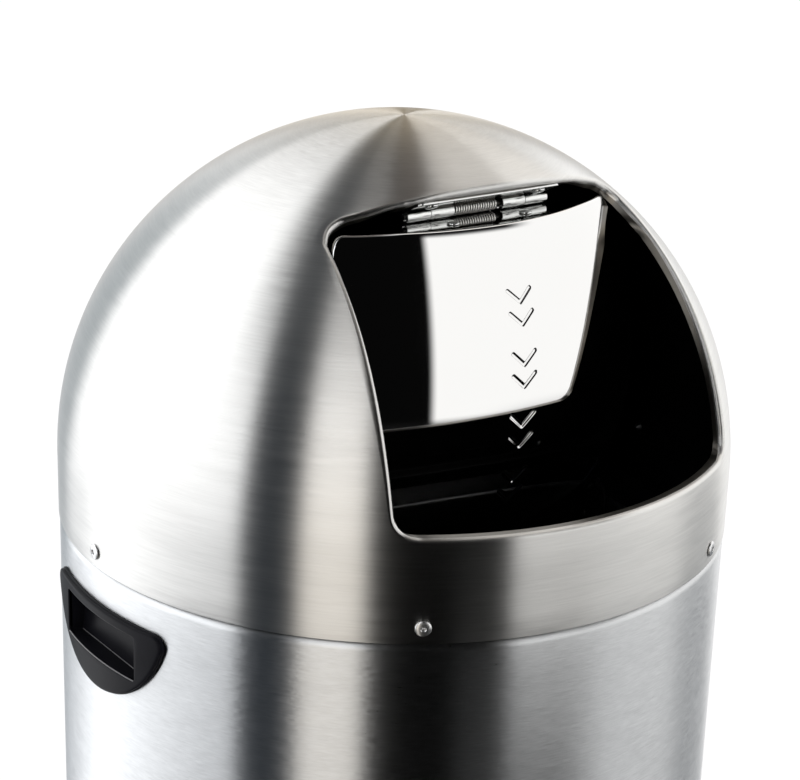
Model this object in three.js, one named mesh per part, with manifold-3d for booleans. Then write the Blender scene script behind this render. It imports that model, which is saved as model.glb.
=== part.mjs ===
// Dome top waste receptacle: a steel cylinder, a lift-off dome with a sprung push flap, and a liner bucket.
// Millimetres and degrees. Origin: centre of the base on the floor. +Z is up and the opening faces -Y.
import * as THREE from 'three';
import { mergeVertices } from 'three/addons/utils/BufferGeometryUtils.js';
import Module from 'manifold-3d';

const wasm = await Module();
wasm.setup();

// ---- Driving dimensions ----
const clearance = 0.3;           // between pieces that touch or run past each other
const roundSegments = 48;        // facets round the shells
const smallSegments = 12;        // facets round pins, rivets and bores
const outlineSteps = 10;         // steps of each curve of the opening's outline

// Body
const bodyInset = 0.6;           // body's wall inside the dome's
const bodySheet = 1.2;
const seamHeight = 518.5;        // floor to the dome's lower edge
const shoulderRadius = 5;        // rolled top edge of the body
const mouthFlange = 13.4;        // turned-in top of the body, from the wall to the mouth
const footRingHeight = 16;
const footRingWall = 2;
const footRingFloor = 3;
const footRingLedge = 14;        // inner leg, which carries the base plate
const footRingChamfer = 1;
const basePlateSheet = 1.2;
const basePlateRim = 12;
const basePressingInset = 59.4;  // from the body's wall to the raised middle
const basePressingHeight = 3;
const basePressingSlope = 4.5;   // width of the pressing's sloped edge

// Dome
const domeRadius = 200;
const domeFlattening = 0.7;      // by which the crown is lower than a true sphere's
const domeSheet = 1.2;
const skirtHeight = 36.5;        // straight part below the sphere centre
const domeRings = 12;            // facets from the skirt to the crown
const ringSheet = 1.2;           // locating ring inside the skirt
const ringUpstand = 17;
const ringPlug = 18;             // depth that the ring reaches into the body
const ringPlugPlay = 0.6;        // to the body's mouth
const domeRivetCount = 6;
const domeRivetStart = -31;      // first rivet, from the front
const domeRivetHeight = 9.3;     // above the dome's lower edge
const rivetHeadRadius = 4.4;
const rivetHeadHeight = 1.4;
const rivetHeadEdge = 0.4;       // height of the head's rim
const rivetBore = 1.35;          // open middle of a blind rivet
const rivetShank = 2;
const rivetTailRadius = 2.9;
const rivetTailLength = 3.4;

// Opening in the dome, in heights above the sphere centre
const openingBottom = 21.6;
const openingSideInset = 86;     // from the dome's outline to the bottom corners, in the front view
const openingCornerInset = 9.5;  // from the dome's outline to the top corners, in the front view
const openingCornerAngle = 58;   // direction of the top corners, above the horizontal
const openingCrownDrop = 18.3;   // outline's top, below the dome's crown, where the hood plane trims it
const openingTopCorner = 10;
const openingBottomCorner = 12;
const hoodSlope = 25.9;          // the opening's top edge lies in a plane that falls inwards
const openingLip = 7;            // turned-in edge

// Hinge
const hingeDepth = 24.84;        // axis, inside the dome's surface
const hingeElevation = 66.8;     // direction of the axis from the sphere centre
const knuckleRadius = 3.5;
const knuckleLength = 15.6;
const springSpace = 33.8;        // between the inner knuckles
const leafSheet = 1.2;
const leafReach = 17;            // leaf's front edge, in front of the axis
const fixedLeafStart = 4.5;      // rear edge beside the knuckles of the hood's leaf
const movingLeafStart = 1;       // rear edge between the knuckles of the flap's leaf
const pinRadius = 1.5;
const pinBore = 1.85;
const pinOverhang = 1.2;
const pinChamfer = 0.5;
const springCoils = 17;
const springPitch = 1.68;
const springCoilRadius = 2.95;
const springWire = 0.55;         // wire radius
const springOffset = 0.9;        // first coil to the left inner knuckle
const springLeg = 7.5;
const hoodTongueHalfWidth = 56;
const leafRivetHead = 3.6;       // radius of a solid rivet's head
const leafRivetHeadHeight = 1.3;
const leafRivetCrown = 2.9;      // radius where the head starts to round over
const leafRivetEdge = 1;         // height of the head's edge there
const leafRivetShank = 1.6;
const leafRivetTail = 2.6;
const leafRivetTailEnd = 2.1;
const leafRivetTailHeight = 1.2;
const fixedRivetSpread = 37;     // from the middle
const fixedRivetForward = 11;    // from the axis
const flapRivetSpread = 25;
const flapRivetForward = 13;

// Flap
const flapInset = 4;             // outer face inside the dome's, concentric with it when shut
const flapSheet = 1.2;
const flapMargin = 3.5;          // between the flap and the opening's edge
const flapLip = 6;
const flapFlangeSlope = 33;      // top flange, when shut
const flapRestAngle = 33;        // how far the flap stands open at rest

// Side grips
const gripDrop = 20;             // from the dome's lower edge to the grip's top
const gripRadius = 63;           // round lower edge
const gripCentreRise = 11;       // centre of that circle, above the grip's top edge
const gripCorner = 7;
const gripProud = 3.7;
const gripBevel = 1.5;
const gripColumns = 18;
const recessInset = 25;          // by which the recess's half width is less than the grip's radius
const recessDrop = 6.5;          // from the grip's top to the recess
const recessHeight = 26.5;
const recessFloorFall = 1;
const recessUndercut = 1.5;
const pocketDepthBottom = 12.4;  // recess back wall, behind the grip's face
const pocketDepthTop = 16;
const pocketWall = 1.5;
const pocketFrontCover = 4.4;    // grip face to the back of its upper rim
const floorNotch = 5;
const lugHalfWidth = 10;         // lug that hooks behind the window's upper edge
const lugThickness = 2;
const lugRise = 2;
const lugPlay = 0.9;             // lug to the body's inside

// Liner
const linerSpace = 33.4;         // from the body's wall to the liner's, under its rim
const linerDraft = 8;            // by which its base is narrower
const linerSheet = 1;
const linerDrop = 32.5;          // from the dome's lower edge to the rolled rim
const linerBead = 3;
const linerFloorRecess = 6;
const earWidth = 24;
const earSheet = 1.5;
const earDrop = 26;              // below the rim
const earTop = 6;                // above the bail's axis
const earRivetSpread = 7;        // from the ear's middle
const earRivetDrop = 15;         // below the rim
const bailOverhang = 3;          // bail's middle line outside the liner's wall
const bailWire = 2.5;            // wire radius
const bailBend = 5;
const bailHook = 8;              // straight end through the ear
const bailGripRadius = 6.5;
const bailGripAngle = 34;        // part of the bail that the sleeve covers

// ---- Sizes that follow ----
const rad = THREE.MathUtils.degToRad;
const domeCentre = seamHeight + skirtHeight;
const domeRise = domeRadius - domeFlattening;
const bodyRadius = domeRadius - bodyInset;
const mouthRadius = bodyRadius - mouthFlange;
const openingHalfWidth = domeRadius - openingSideInset;
const openingCornerHalfWidth = (domeRadius - openingCornerInset) * Math.cos(rad(openingCornerAngle));
const openingCornerHeight = (domeRadius - openingCornerInset) * Math.sin(rad(openingCornerAngle));
const openingCrown = domeRise - openingCrownDrop;
const hingeForward = (domeRadius - hingeDepth) * Math.cos(rad(hingeElevation));
const hingeRise = (domeRadius - hingeDepth) * Math.sin(rad(hingeElevation));
const hinge = new THREE.Vector3(0, -hingeForward, domeCentre + hingeRise);
const flapRadius = domeRadius - flapInset;
const gripTop = seamHeight - gripDrop;
const recessHalfWidth = gripRadius - recessInset;
const recessTop = gripTop - recessDrop;
const recessFloor = recessTop - recessHeight;
const linerTopRadius = bodyRadius - linerSpace;
const linerBaseRadius = linerTopRadius - linerDraft;
const linerRim = seamHeight - linerDrop;
const bailRadius = linerTopRadius + bailOverhang;
const shoulderTop = seamHeight - clearance;
const bodyInner = bodyRadius - bodySheet;
const bodyBottom = footRingFloor + clearance;
const ringLegRadius = bodyInner - clearance;
const basePlateBottom = footRingLedge + clearance;
const basePlateTop = basePlateBottom + basePlateSheet;
const ringOuter = domeRadius - domeSheet - clearance;
const ringPlugOuter = mouthRadius - ringPlugPlay;
const flangeOffset = knuckleRadius + clearance;
const innerKnuckle = springSpace / 2;
const outerKnuckle = innerKnuckle + knuckleLength + clearance;
const gripFace = bodyRadius + clearance + gripProud;
const linerBottom = basePlateTop + clearance;
const beadRadius = linerTopRadius - linerSheet + linerBead;
const bailHeight = linerRim + clearance + bailGripRadius;
const linerTaper = (linerTopRadius - linerBaseRadius) / (linerRim - linerBottom);
const earSagitta = linerTopRadius - Math.sqrt(linerTopRadius ** 2 - earWidth ** 2 / 4);
const earFace = linerTopRadius - linerSheet - linerTaper * earDrop - earSagitta - 2 * clearance;
const facetDrop = domeRadius * (1 - Math.cos(Math.PI / roundSegments));
const rivetGrip = domeSheet + ringSheet + 3 * clearance + facetDrop;
const farAway = 2 * domeRadius;  // reach of a cutting solid

// ---- Materials ----
const brushedSteel = new THREE.MeshStandardMaterial({ color: 0xc4c3bf, roughness: 0.32, metalness: 1 });
const polishedSteel = new THREE.MeshStandardMaterial({ color: 0xd6d5d0, roughness: 0.06, metalness: 1 });
const zincSteel = new THREE.MeshStandardMaterial({ color: 0xc9cac8, roughness: 0.25, metalness: 1 });
const galvanisedSteel = new THREE.MeshStandardMaterial({ color: 0x9da3a6, roughness: 0.5, metalness: 1 });
const aluminium = new THREE.MeshStandardMaterial({ color: 0xd9dadb, roughness: 0.35, metalness: 1 });
const blackPlastic = new THREE.MeshStandardMaterial({ color: 0x1b1b1d, roughness: 0.45, metalness: 0 });

// ---- Solids and booleans ----
function signedVolume(positions, index) {
  const a = new THREE.Vector3();
  const b = new THREE.Vector3();
  const c = new THREE.Vector3();
  let sum = 0;
  for (let i = 0; i < index.length; i += 3) {
    a.fromArray(positions, index[i] * 3);
    b.fromArray(positions, index[i + 1] * 3);
    c.fromArray(positions, index[i + 2] * 3);
    sum += a.dot(b.cross(c));
  }
  return sum;
}

// Turns a closed geometry into a solid whose faces point out.
function solid(geometry) {
  const bare = geometry.clone();
  bare.deleteAttribute('normal');
  bare.deleteAttribute('uv');
  const merged = mergeVertices(bare, 1e-4);
  const positions = merged.attributes.position.array;
  const triangles = [];
  const source = merged.index.array;
  for (let i = 0; i < source.length; i += 3) {
    const [p, q, r] = [source[i], source[i + 1], source[i + 2]];
    if (p !== q && q !== r && r !== p) triangles.push(p, q, r);
  }
  if (signedVolume(positions, triangles) < 0) triangles.reverse();
  return new wasm.Manifold(new wasm.Mesh({
    numProp: 3,
    vertProperties: new Float32Array(positions),
    triVerts: new Uint32Array(triangles),
  }));
}

function geometryOf(shape) {
  const mesh = shape.getMesh();
  const geometry = new THREE.BufferGeometry();
  geometry.setAttribute('position', new THREE.BufferAttribute(new Float32Array(mesh.vertProperties), 3));
  geometry.setIndex(new THREE.BufferAttribute(new Uint32Array(mesh.triVerts), 1));
  geometry.computeVertexNormals();
  return geometry;
}

function part(name, shape, material) {
  const mesh = new THREE.Mesh(geometryOf(shape), material);
  mesh.name = name;
  return mesh;
}

function box(low, high) {
  const size = high.map((value, i) => value - low[i]);
  const geometry = new THREE.BoxGeometry(...size);
  return solid(geometry.translate(...low.map((value, i) => value + size[i] / 2)));
}

// Turns a profile of [radius, height] points about the Z axis.
function revolve(profile, segments = roundSegments) {
  const points = profile.map(([radius, height]) => new THREE.Vector2(radius, height));
  return new THREE.LatheGeometry(points, segments).rotateX(Math.PI / 2);
}

function ring(profile, segments) {
  return solid(revolve([...profile, profile[0]], segments));
}

// Points of an arc in a profile, from one angle to another.
function arc(x, y, radius, from, to, steps, rise = radius) {
  const points = [];
  for (let i = 0; i <= steps; i += 1) {
    const angle = rad(from + (to - from) * i / steps);
    points.push([x + radius * Math.cos(angle), y + rise * Math.sin(angle)]);
  }
  return points;
}

function shapeOf(points) {
  return new THREE.Shape(points.map(([x, y]) => new THREE.Vector2(x, y)));
}

// Extrudes a front-view shape (x, z) along Y, from yLow to yHigh.
function extrudeForward(shape, yLow, yHigh) {
  const depth = yHigh - yLow;
  const geometry = new THREE.ExtrudeGeometry(shape, { depth, bevelEnabled: false, curveSegments: outlineSteps });
  return solid(geometry.rotateX(Math.PI / 2).translate(0, yHigh, 0));
}

// Extrudes a side-view shape (forward, up) along X, from xLow to xHigh.
function extrudeAcross(shape, xLow, xHigh, curveSegments = smallSegments) {
  const depth = xHigh - xLow;
  const geometry = new THREE.ExtrudeGeometry(shape, { depth, bevelEnabled: false, curveSegments });
  const turn = new THREE.Matrix4().makeBasis(
    new THREE.Vector3(0, -1, 0),
    new THREE.Vector3(0, 0, 1),
    new THREE.Vector3(-1, 0, 0),
  );
  return solid(geometry.applyMatrix4(turn).translate(xHigh, 0, 0));
}

function slab(forwardLow, forwardHigh, upLow, upHigh, xLow, xHigh) {
  return box([xLow, -forwardHigh, upLow], [xHigh, -forwardLow, upHigh]);
}

// A round bar along Z.
function bar(radius, zLow, zHigh, segments = smallSegments) {
  return solid(new THREE.CylinderGeometry(radius, radius, zHigh - zLow, segments)
    .rotateX(Math.PI / 2).translate(0, 0, (zLow + zHigh) / 2));
}

// A round wire through a list of points, closed at both ends.
function wire(points, radius, sides) {
  const positions = [];
  const index = [];
  const tangents = points.map((point, i) => {
    const before = points[Math.max(i - 1, 0)];
    const after = points[Math.min(i + 1, points.length - 1)];
    return after.clone().sub(before).normalize();
  });
  const start = Math.abs(tangents[0].z) < 0.9 ? new THREE.Vector3(0, 0, 1) : new THREE.Vector3(1, 0, 0);
  const normal = start.cross(tangents[0]).normalize();
  points.forEach((point, i) => {
    if (i > 0) {
      const turn = new THREE.Quaternion().setFromUnitVectors(tangents[i - 1], tangents[i]);
      normal.applyQuaternion(turn);
      normal.addScaledVector(tangents[i], -normal.dot(tangents[i])).normalize();
    }
    const side = tangents[i].clone().cross(normal);
    for (let j = 0; j < sides; j += 1) {
      const angle = 2 * Math.PI * j / sides;
      const offset = normal.clone().multiplyScalar(Math.cos(angle)).addScaledVector(side, Math.sin(angle));
      positions.push(...point.clone().addScaledVector(offset, radius).toArray());
    }
  });
  for (let i = 0; i < points.length - 1; i += 1) {
    for (let j = 0; j < sides; j += 1) {
      const a = i * sides + j;
      const b = i * sides + (j + 1) % sides;
      index.push(a, b, b + sides, a, b + sides, a + sides);
    }
  }
  const last = (points.length - 1) * sides;
  for (let j = 1; j < sides - 1; j += 1) {
    index.push(0, j + 1, j);
    index.push(last, last + j, last + j + 1);
  }
  const geometry = new THREE.BufferGeometry();
  geometry.setAttribute('position', new THREE.Float32BufferAttribute(positions, 3));
  geometry.setIndex(index);
  return solid(geometry);
}

// ---- Body ----
function bodyShell() {
  const inset = bodyRadius - shoulderRadius;
  const shoulderFoot = shoulderTop - shoulderRadius;
  const shell = ring([
    [bodyRadius, bodyBottom],
    ...arc(inset, shoulderFoot, shoulderRadius, 0, 90, 4),
    [mouthRadius, shoulderTop],
    [mouthRadius, shoulderTop - bodySheet],
    ...arc(inset, shoulderFoot, shoulderRadius - bodySheet, 90, 0, 3),
    [bodyInner, bodyBottom],
  ]);
  return shell.subtract(gripWindow(-1)).subtract(gripWindow(1));
}

function footRing() {
  const outer = bodyRadius + clearance + footRingWall;
  const innerLeg = ringLegRadius - footRingWall;
  return ring([
    [outer, 0],
    [outer, footRingHeight - footRingChamfer],
    [outer - footRingChamfer, footRingHeight],
    [bodyRadius + clearance, footRingHeight],
    [bodyRadius + clearance, footRingFloor],
    [ringLegRadius, footRingFloor],
    [ringLegRadius, footRingLedge],
    [innerLeg, footRingLedge],
    [innerLeg, 0],
  ]);
}

// Pressed floor of the body: an upturned rim and a raised middle.
function basePlate() {
  const rimTop = basePlateBottom + basePlateRim;
  const pressing = bodyRadius - basePressingInset;
  const middle = pressing - basePressingSlope;
  return solid(revolve([
    [0, basePlateBottom + basePressingHeight],
    [middle, basePlateBottom + basePressingHeight],
    [pressing, basePlateBottom],
    [ringLegRadius, basePlateBottom],
    [ringLegRadius, rimTop],
    [ringLegRadius - basePlateSheet, rimTop],
    [ringLegRadius - basePlateSheet, basePlateTop],
    [pressing, basePlateTop],
    [middle, basePlateTop + basePressingHeight],
    [0, basePlateTop + basePressingHeight],
  ]));
}

// ---- Side grips ----
// Grip outline: a flat top edge with round corners over a round lower edge, drawn in by an inset.
function gripOutline(inset) {
  const centreZ = gripTop + gripCentreRise;
  const cornerZ = gripTop - gripCorner;
  const reach = Math.sqrt((gripRadius - gripCorner) ** 2 - (centreZ - cornerZ) ** 2);
  const half = reach + gripCorner - inset;
  const touch = reach * gripRadius / (gripRadius - gripCorner);
  const corner = (s) => Math.sqrt(Math.max((gripCorner - inset) ** 2 - (s - reach) ** 2, 0));
  return {
    half,
    top: (s) => (Math.abs(s) < reach ? gripTop - inset : cornerZ + corner(Math.abs(s))),
    bottom: (s) => (Math.abs(s) < touch * (gripRadius - inset) / gripRadius
      ? centreZ - Math.sqrt((gripRadius - inset) ** 2 - s * s)
      : cornerZ - corner(Math.abs(s))),
  };
}

// The grip's flange, wrapped round the body in narrow columns, with a bevelled edge.
function gripFlange() {
  const back = bodyRadius + clearance;
  const layers = [[back, 0], [gripFace - gripBevel, 0], [gripFace, gripBevel]];
  const positions = [];
  const index = [];
  const count = gripColumns + 1;
  const endTurn = 0.985;
  layers.forEach(([radius, inset]) => {
    const outline = gripOutline(inset);
    for (let i = 0; i < count; i += 1) {
      const s = outline.half * Math.sin(Math.PI / 2 * endTurn * (2 * i / gripColumns - 1));
      const angle = s / gripFace;
      for (const z of [outline.bottom(s), outline.top(s)]) {
        positions.push(-radius * Math.cos(angle), radius * Math.sin(angle), z);
      }
    }
  });
  const at = (layer, column, edge) => (layer * count + column) * 2 + edge;
  const quad = (a, b, c, d) => index.push(a, b, c, a, c, d);
  const outer = layers.length - 1;
  for (let i = 0; i < gripColumns; i += 1) {
    quad(at(outer, i, 0), at(outer, i + 1, 0), at(outer, i + 1, 1), at(outer, i, 1));
    quad(at(0, i, 0), at(0, i, 1), at(0, i + 1, 1), at(0, i + 1, 0));
    for (let k = 0; k < outer; k += 1) {
      quad(at(k, i, 0), at(k, i + 1, 0), at(k + 1, i + 1, 0), at(k + 1, i, 0));
      quad(at(k, i, 1), at(k + 1, i, 1), at(k + 1, i + 1, 1), at(k, i + 1, 1));
    }
  }
  for (let k = 0; k < outer; k += 1) {
    quad(at(k, 0, 0), at(k + 1, 0, 0), at(k + 1, 0, 1), at(k, 0, 1));
    quad(at(k, gripColumns, 0), at(k, gripColumns, 1), at(k + 1, gripColumns, 1), at(k + 1, gripColumns, 0));
  }
  const geometry = new THREE.BufferGeometry();
  geometry.setAttribute('position', new THREE.Float32BufferAttribute(positions, 3));
  geometry.setIndex(index);
  return solid(geometry);
}

// A side-view shape of [distance from the axis, height] on the -X side, extruded along Y.
function extrudeSideways(points, halfWidth) {
  const geometry = new THREE.ExtrudeGeometry(
    shapeOf(points.map(([radius, height]) => [-radius, height])),
    { depth: 2 * halfWidth, bevelEnabled: false },
  );
  return solid(geometry.rotateX(Math.PI / 2).translate(0, halfWidth, 0));
}

function gripLeft() {
  const floorBack = recessFloor - recessFloorFall;
  const pocketTop = recessTop + recessUndercut;
  const bottomDepth = gripFace - pocketDepthBottom;
  const topDepth = gripFace - pocketDepthTop;
  const upperRimBack = gripFace - pocketFrontCover;
  const block = extrudeSideways([
    [gripFace, floorBack - pocketWall],
    [bottomDepth - pocketWall, floorBack - pocketWall],
    [topDepth - pocketWall, pocketTop + pocketWall],
    [gripFace, pocketTop + pocketWall],
  ], recessHalfWidth + pocketWall);
  const hollow = extrudeSideways([
    [gripFace + gripProud, recessFloor],
    [bottomDepth, floorBack],
    [topDepth, pocketTop],
    [upperRimBack, pocketTop],
    [upperRimBack, recessTop],
    [gripFace + gripProud, recessTop],
  ], recessHalfWidth);
  const lugFace = bodyInner - lugPlay;
  const lugTop = box(
    [-lugFace, -lugHalfWidth, pocketTop],
    [-lugFace + lugThickness, lugHalfWidth, pocketTop + pocketWall + lugRise],
  );
  let grip = gripFlange()
    .add(block.intersect(bar(gripFace - gripBevel, 0, seamHeight, roundSegments * 2)))
    .subtract(hollow)
    .add(lugTop);
  const notchFront = bottomDepth + 2 * floorNotch;
  for (const side of [-1, 1]) {
    const edges = [side * recessHalfWidth, side * (recessHalfWidth - floorNotch)].sort((a, b) => a - b);
    grip = grip.subtract(box(
      [-notchFront, edges[0], floorBack - 2 * pocketWall],
      [-notchFront + floorNotch, edges[1], recessFloor + pocketWall],
    ));
  }
  return grip;
}

// Window in the body that a grip's pocket passes through.
function gripWindow(side) {
  const half = recessHalfWidth + pocketWall + clearance;
  const low = recessFloor - recessFloorFall - pocketWall - clearance;
  const high = recessTop + recessUndercut + pocketWall + clearance;
  const ends = [side * bodyRadius / 2, side * farAway].sort((a, b) => a - b);
  return box([ends[0], -half, low], [ends[1], half, high]);
}

// ---- Dome ----
function domeSolid(radius, rise, low) {
  return solid(revolve([
    [0, low],
    [radius, low],
    ...arc(0, domeCentre, radius, 0, 90, domeRings, rise),
  ]));
}

// Front view of the opening, drawn in by a margin: a flat bottom, sides that lean in and an arched top.
function openingShape(margin) {
  const low = domeCentre + openingBottom + margin;
  const high = domeCentre + openingCornerHeight - margin;
  const wide = openingHalfWidth - margin;
  const narrow = openingCornerHalfWidth - margin;
  const crown = domeCentre + openingCrown - margin;
  const middle = (low + high) / 2;
  const sideLean = (wide - narrow) / (high - middle);
  const topLean = 2 * (crown - high) / narrow;
  const bottomCorner = Math.max(openingBottomCorner - margin, 1);
  const topCorner = Math.max(openingTopCorner - margin, 1);
  const shape = new THREE.Shape();
  shape.moveTo(-wide + bottomCorner, low);
  shape.lineTo(wide - bottomCorner, low);
  shape.quadraticCurveTo(wide, low, wide, low + bottomCorner);
  shape.quadraticCurveTo(wide, middle, narrow + sideLean * topCorner, high - topCorner);
  shape.quadraticCurveTo(narrow, high, narrow - topCorner, high + topLean * topCorner);
  shape.quadraticCurveTo(0, 2 * crown - high, -narrow + topCorner, high + topLean * topCorner);
  shape.quadraticCurveTo(-narrow, high, -narrow - sideLean * topCorner, high - topCorner);
  shape.quadraticCurveTo(-wide, middle, -wide, low + bottomCorner);
  shape.quadraticCurveTo(-wide, low, -wide + bottomCorner, low);
  return shape;
}

function openingPrism(margin) {
  return extrudeForward(openingShape(margin), -farAway, 0);
}

// A slab that falls inwards at a slope, between two distances above the hinge axis.
function hingeSlab(slope, low, high, forwardLow = -farAway, xHalf = farAway) {
  return slab(forwardLow, farAway, low, high, -xHalf, xHalf)
    .rotate([-slope, 0, 0])
    .translate(hinge.toArray());
}

// The dome's sheet with its opening, whose edge is turned in. At the top the turned edge carries on
// inwards as a tongue, where the hinge sits.
function domeShell() {
  const layer = (depth, low = seamHeight) => domeSolid(domeRadius - depth, domeRise - depth, low);
  const shell = layer(0).subtract(layer(domeSheet, 0));
  const opening = openingPrism(0).intersect(hingeSlab(hoodSlope, -farAway, flangeOffset));
  const edge = openingPrism(-domeSheet).intersect(hingeSlab(hoodSlope, -farAway, flangeOffset + domeSheet));
  const lipBand = layer(domeSheet / 2).subtract(layer(openingLip, 0));
  const tongueEdge = springWire - springCoilRadius + clearance;
  const tongue = hingeSlab(hoodSlope, flangeOffset, flangeOffset + domeSheet, tongueEdge, hoodTongueHalfWidth)
    .intersect(layer(domeSheet / 2))
    .intersect(openingPrism(-domeSheet));
  let dome = shell.add(edge.intersect(lipBand)).add(tongue).subtract(opening);
  for (let i = 0; i < domeRivetCount; i += 1) dome = dome.subtract(domeRivetHole(i));
  return dome.subtract(fixedRivetHoles());
}

// Z-section ring: riveted inside the skirt, it rests on the body's rolled edge and plugs into its mouth.
function locatingRing() {
  let section = ring([
    [ringOuter, seamHeight],
    [ringOuter, seamHeight + ringUpstand],
    [ringOuter - ringSheet, seamHeight + ringUpstand],
    [ringOuter - ringSheet, seamHeight + ringSheet],
    [ringPlugOuter - ringSheet, seamHeight + ringSheet],
    [ringPlugOuter - ringSheet, seamHeight - ringPlug],
    [ringPlugOuter, seamHeight - ringPlug],
    [ringPlugOuter, seamHeight],
  ]);
  for (let i = 0; i < domeRivetCount; i += 1) section = section.subtract(domeRivetHole(i));
  return section;
}

// Turns a piece that points along +Z so that it points outwards at an angle from the front.
function radialMatrix(angle, radius, height) {
  const outward = new THREE.Vector3(Math.sin(rad(angle)), -Math.cos(rad(angle)), 0);
  const sideways = new THREE.Vector3(Math.cos(rad(angle)), Math.sin(rad(angle)), 0);
  const upward = new THREE.Vector3(0, 0, 1);
  const place = outward.clone().multiplyScalar(radius).setZ(height);
  return new THREE.Matrix4().makeBasis(sideways, upward, outward).setPosition(place);
}

function domeRivetAngle(i) {
  return domeRivetStart + i * 360 / domeRivetCount;
}

// Hole through the dome's skirt and the locating ring.
function domeRivetHole(i) {
  const radius = rivetShank + clearance;
  const hole = new THREE.CylinderGeometry(radius, radius, 2 * rivetGrip, smallSegments).rotateX(Math.PI / 2);
  const z = seamHeight + domeRivetHeight;
  return solid(hole.applyMatrix4(radialMatrix(domeRivetAngle(i), domeRadius, z)));
}

// Blind rivet along +Z with its head's underside at zero.
function blindRivet() {
  return solid(revolve([
    [0, -rivetGrip],
    [rivetBore, -rivetGrip],
    [rivetBore, rivetHeadHeight],
    [rivetHeadRadius, rivetHeadEdge],
    [rivetHeadRadius, 0],
    [rivetShank, 0],
    [rivetShank, -rivetGrip],
    [rivetTailRadius, -rivetGrip],
    [rivetBore, -rivetGrip - rivetTailLength],
    [0, -rivetGrip - rivetTailLength],
  ], smallSegments));
}

// Solid rivet along +Z with its head's underside at zero and its tail below a grip length.
function solidRivet(grip) {
  return solid(revolve([
    [0, -grip - leafRivetTailHeight],
    [leafRivetTailEnd, -grip - leafRivetTailHeight],
    [leafRivetTail, -grip],
    [leafRivetShank, -grip],
    [leafRivetShank, 0],
    [leafRivetHead, 0],
    [leafRivetCrown, leafRivetEdge],
    [0, leafRivetHeadHeight],
  ], smallSegments));
}

// ---- Hinge ----
function knuckle(side, inner) {
  const near = inner ? innerKnuckle : outerKnuckle;
  const low = side > 0 ? near : -near - knuckleLength;
  const round = new THREE.Shape().absarc(0, 0, knuckleRadius, 0, 2 * Math.PI, false);
  round.holes.push(new THREE.Path().absarc(0, 0, pinBore, 0, 2 * Math.PI, true));
  return extrudeAcross(round, low, low + knuckleLength, smallSegments / 2);
}

// A pair of holes for leaf rivets along Z, on both sides of the middle, between two heights.
function leafHoles(spread, forward, low = -farAway, high = farAway) {
  const hole = bar(leafRivetShank + clearance, low, high).translate([0, -forward, 0]);
  return hole.translate([-spread, 0, 0]).add(hole.translate([spread, 0, 0]));
}

function fixedRivetHoles() {
  return leafHoles(fixedRivetSpread, fixedRivetForward, 0, 3 * flangeOffset)
    .rotate([-hoodSlope, 0, 0])
    .translate(hinge.toArray());
}

function flapRivetHoles() {
  return leafHoles(flapRivetSpread, flapRivetForward, -3 * flangeOffset, 0).rotate([-flapFlangeSlope, 0, 0]);
}

function pinHole() {
  return bar(pinBore, -farAway, farAway).rotate([0, 90, 0]);
}

// Leaf on the dome's hood, with the two outer knuckles. The axis runs through the local origin.
function fixedLeaf() {
  const leafLow = knuckleRadius - leafSheet;
  const reach = outerKnuckle + knuckleLength;
  let leaf = slab(fixedLeafStart, leafReach, leafLow, knuckleRadius, -reach, reach);
  for (const side of [-1, 1]) {
    const low = side > 0 ? outerKnuckle : -reach;
    const foot = slab(0, fixedLeafStart + leafSheet, leafLow, knuckleRadius, low, low + knuckleLength);
    leaf = leaf.add(knuckle(side, false)).add(foot);
  }
  return leaf.subtract(pinHole()).subtract(leafHoles(fixedRivetSpread, fixedRivetForward));
}

// Leaf under the flap's flange, with the two inner knuckles that rise behind the flange.
function movingLeaf() {
  const leafTop = -flangeOffset - flapSheet - clearance;
  const leafLow = leafTop - leafSheet;
  const reach = innerKnuckle + knuckleLength;
  let leaf = slab(movingLeafStart, leafReach, leafLow, leafTop, -reach, reach);
  for (const side of [-1, 1]) {
    const low = side > 0 ? innerKnuckle : -reach;
    const high = low + knuckleLength;
    const riser = slab(-knuckleRadius, -knuckleRadius + leafSheet, leafLow, 0, low, high);
    const foot = slab(-knuckleRadius, movingLeafStart + leafSheet, leafLow, leafTop, low, high);
    leaf = leaf.add(knuckle(side, true)).add(riser).add(foot);
  }
  return leaf.subtract(pinHole()).subtract(leafHoles(flapRivetSpread, flapRivetForward));
}

function hingePin() {
  const half = outerKnuckle + knuckleLength + pinOverhang;
  return solid(revolve([
    [0, -half],
    [pinRadius - pinChamfer, -half],
    [pinRadius, -half + pinChamfer],
    [pinRadius, half - pinChamfer],
    [pinRadius - pinChamfer, half],
    [0, half],
  ], smallSegments)).rotate([0, 90, 0]);
}

// Torsion spring round the pin: one leg bears on the hood's edge, the other on the flap's flange.
function springPoints() {
  const startAngle = 180 + hoodSlope;
  const sweep = 360 * springCoils - hoodSlope;
  const steps = springCoils * 8;
  const startX = -innerKnuckle + springOffset;
  const place = (angle, x) => new THREE.Vector3(
    x,
    -springCoilRadius * Math.cos(rad(angle)),
    springCoilRadius * Math.sin(rad(angle)),
  );
  const coil = [];
  for (let i = 0; i <= steps; i += 1) {
    coil.push(place(startAngle + sweep * i / steps, startX + springPitch * springCoils * i / steps));
  }
  const hoodUp = new THREE.Vector3(0, Math.sin(rad(hoodSlope)), Math.cos(rad(hoodSlope)));
  const first = coil[0].clone().addScaledVector(hoodUp, springLeg);
  const last = coil[steps].clone().add(new THREE.Vector3(0, 0, -springLeg));
  return [first, ...coil, last];
}

// Least distance between stretches of wire that are at least half a coil apart, less the wire itself.
function springGap(points) {
  let least = Infinity;
  for (let i = 0; i < points.length; i += 1) {
    for (let j = i + 5; j < points.length; j += 1) {
      least = Math.min(least, points[i].distanceTo(points[j]));
    }
  }
  return least - 2 * springWire;
}

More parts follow.
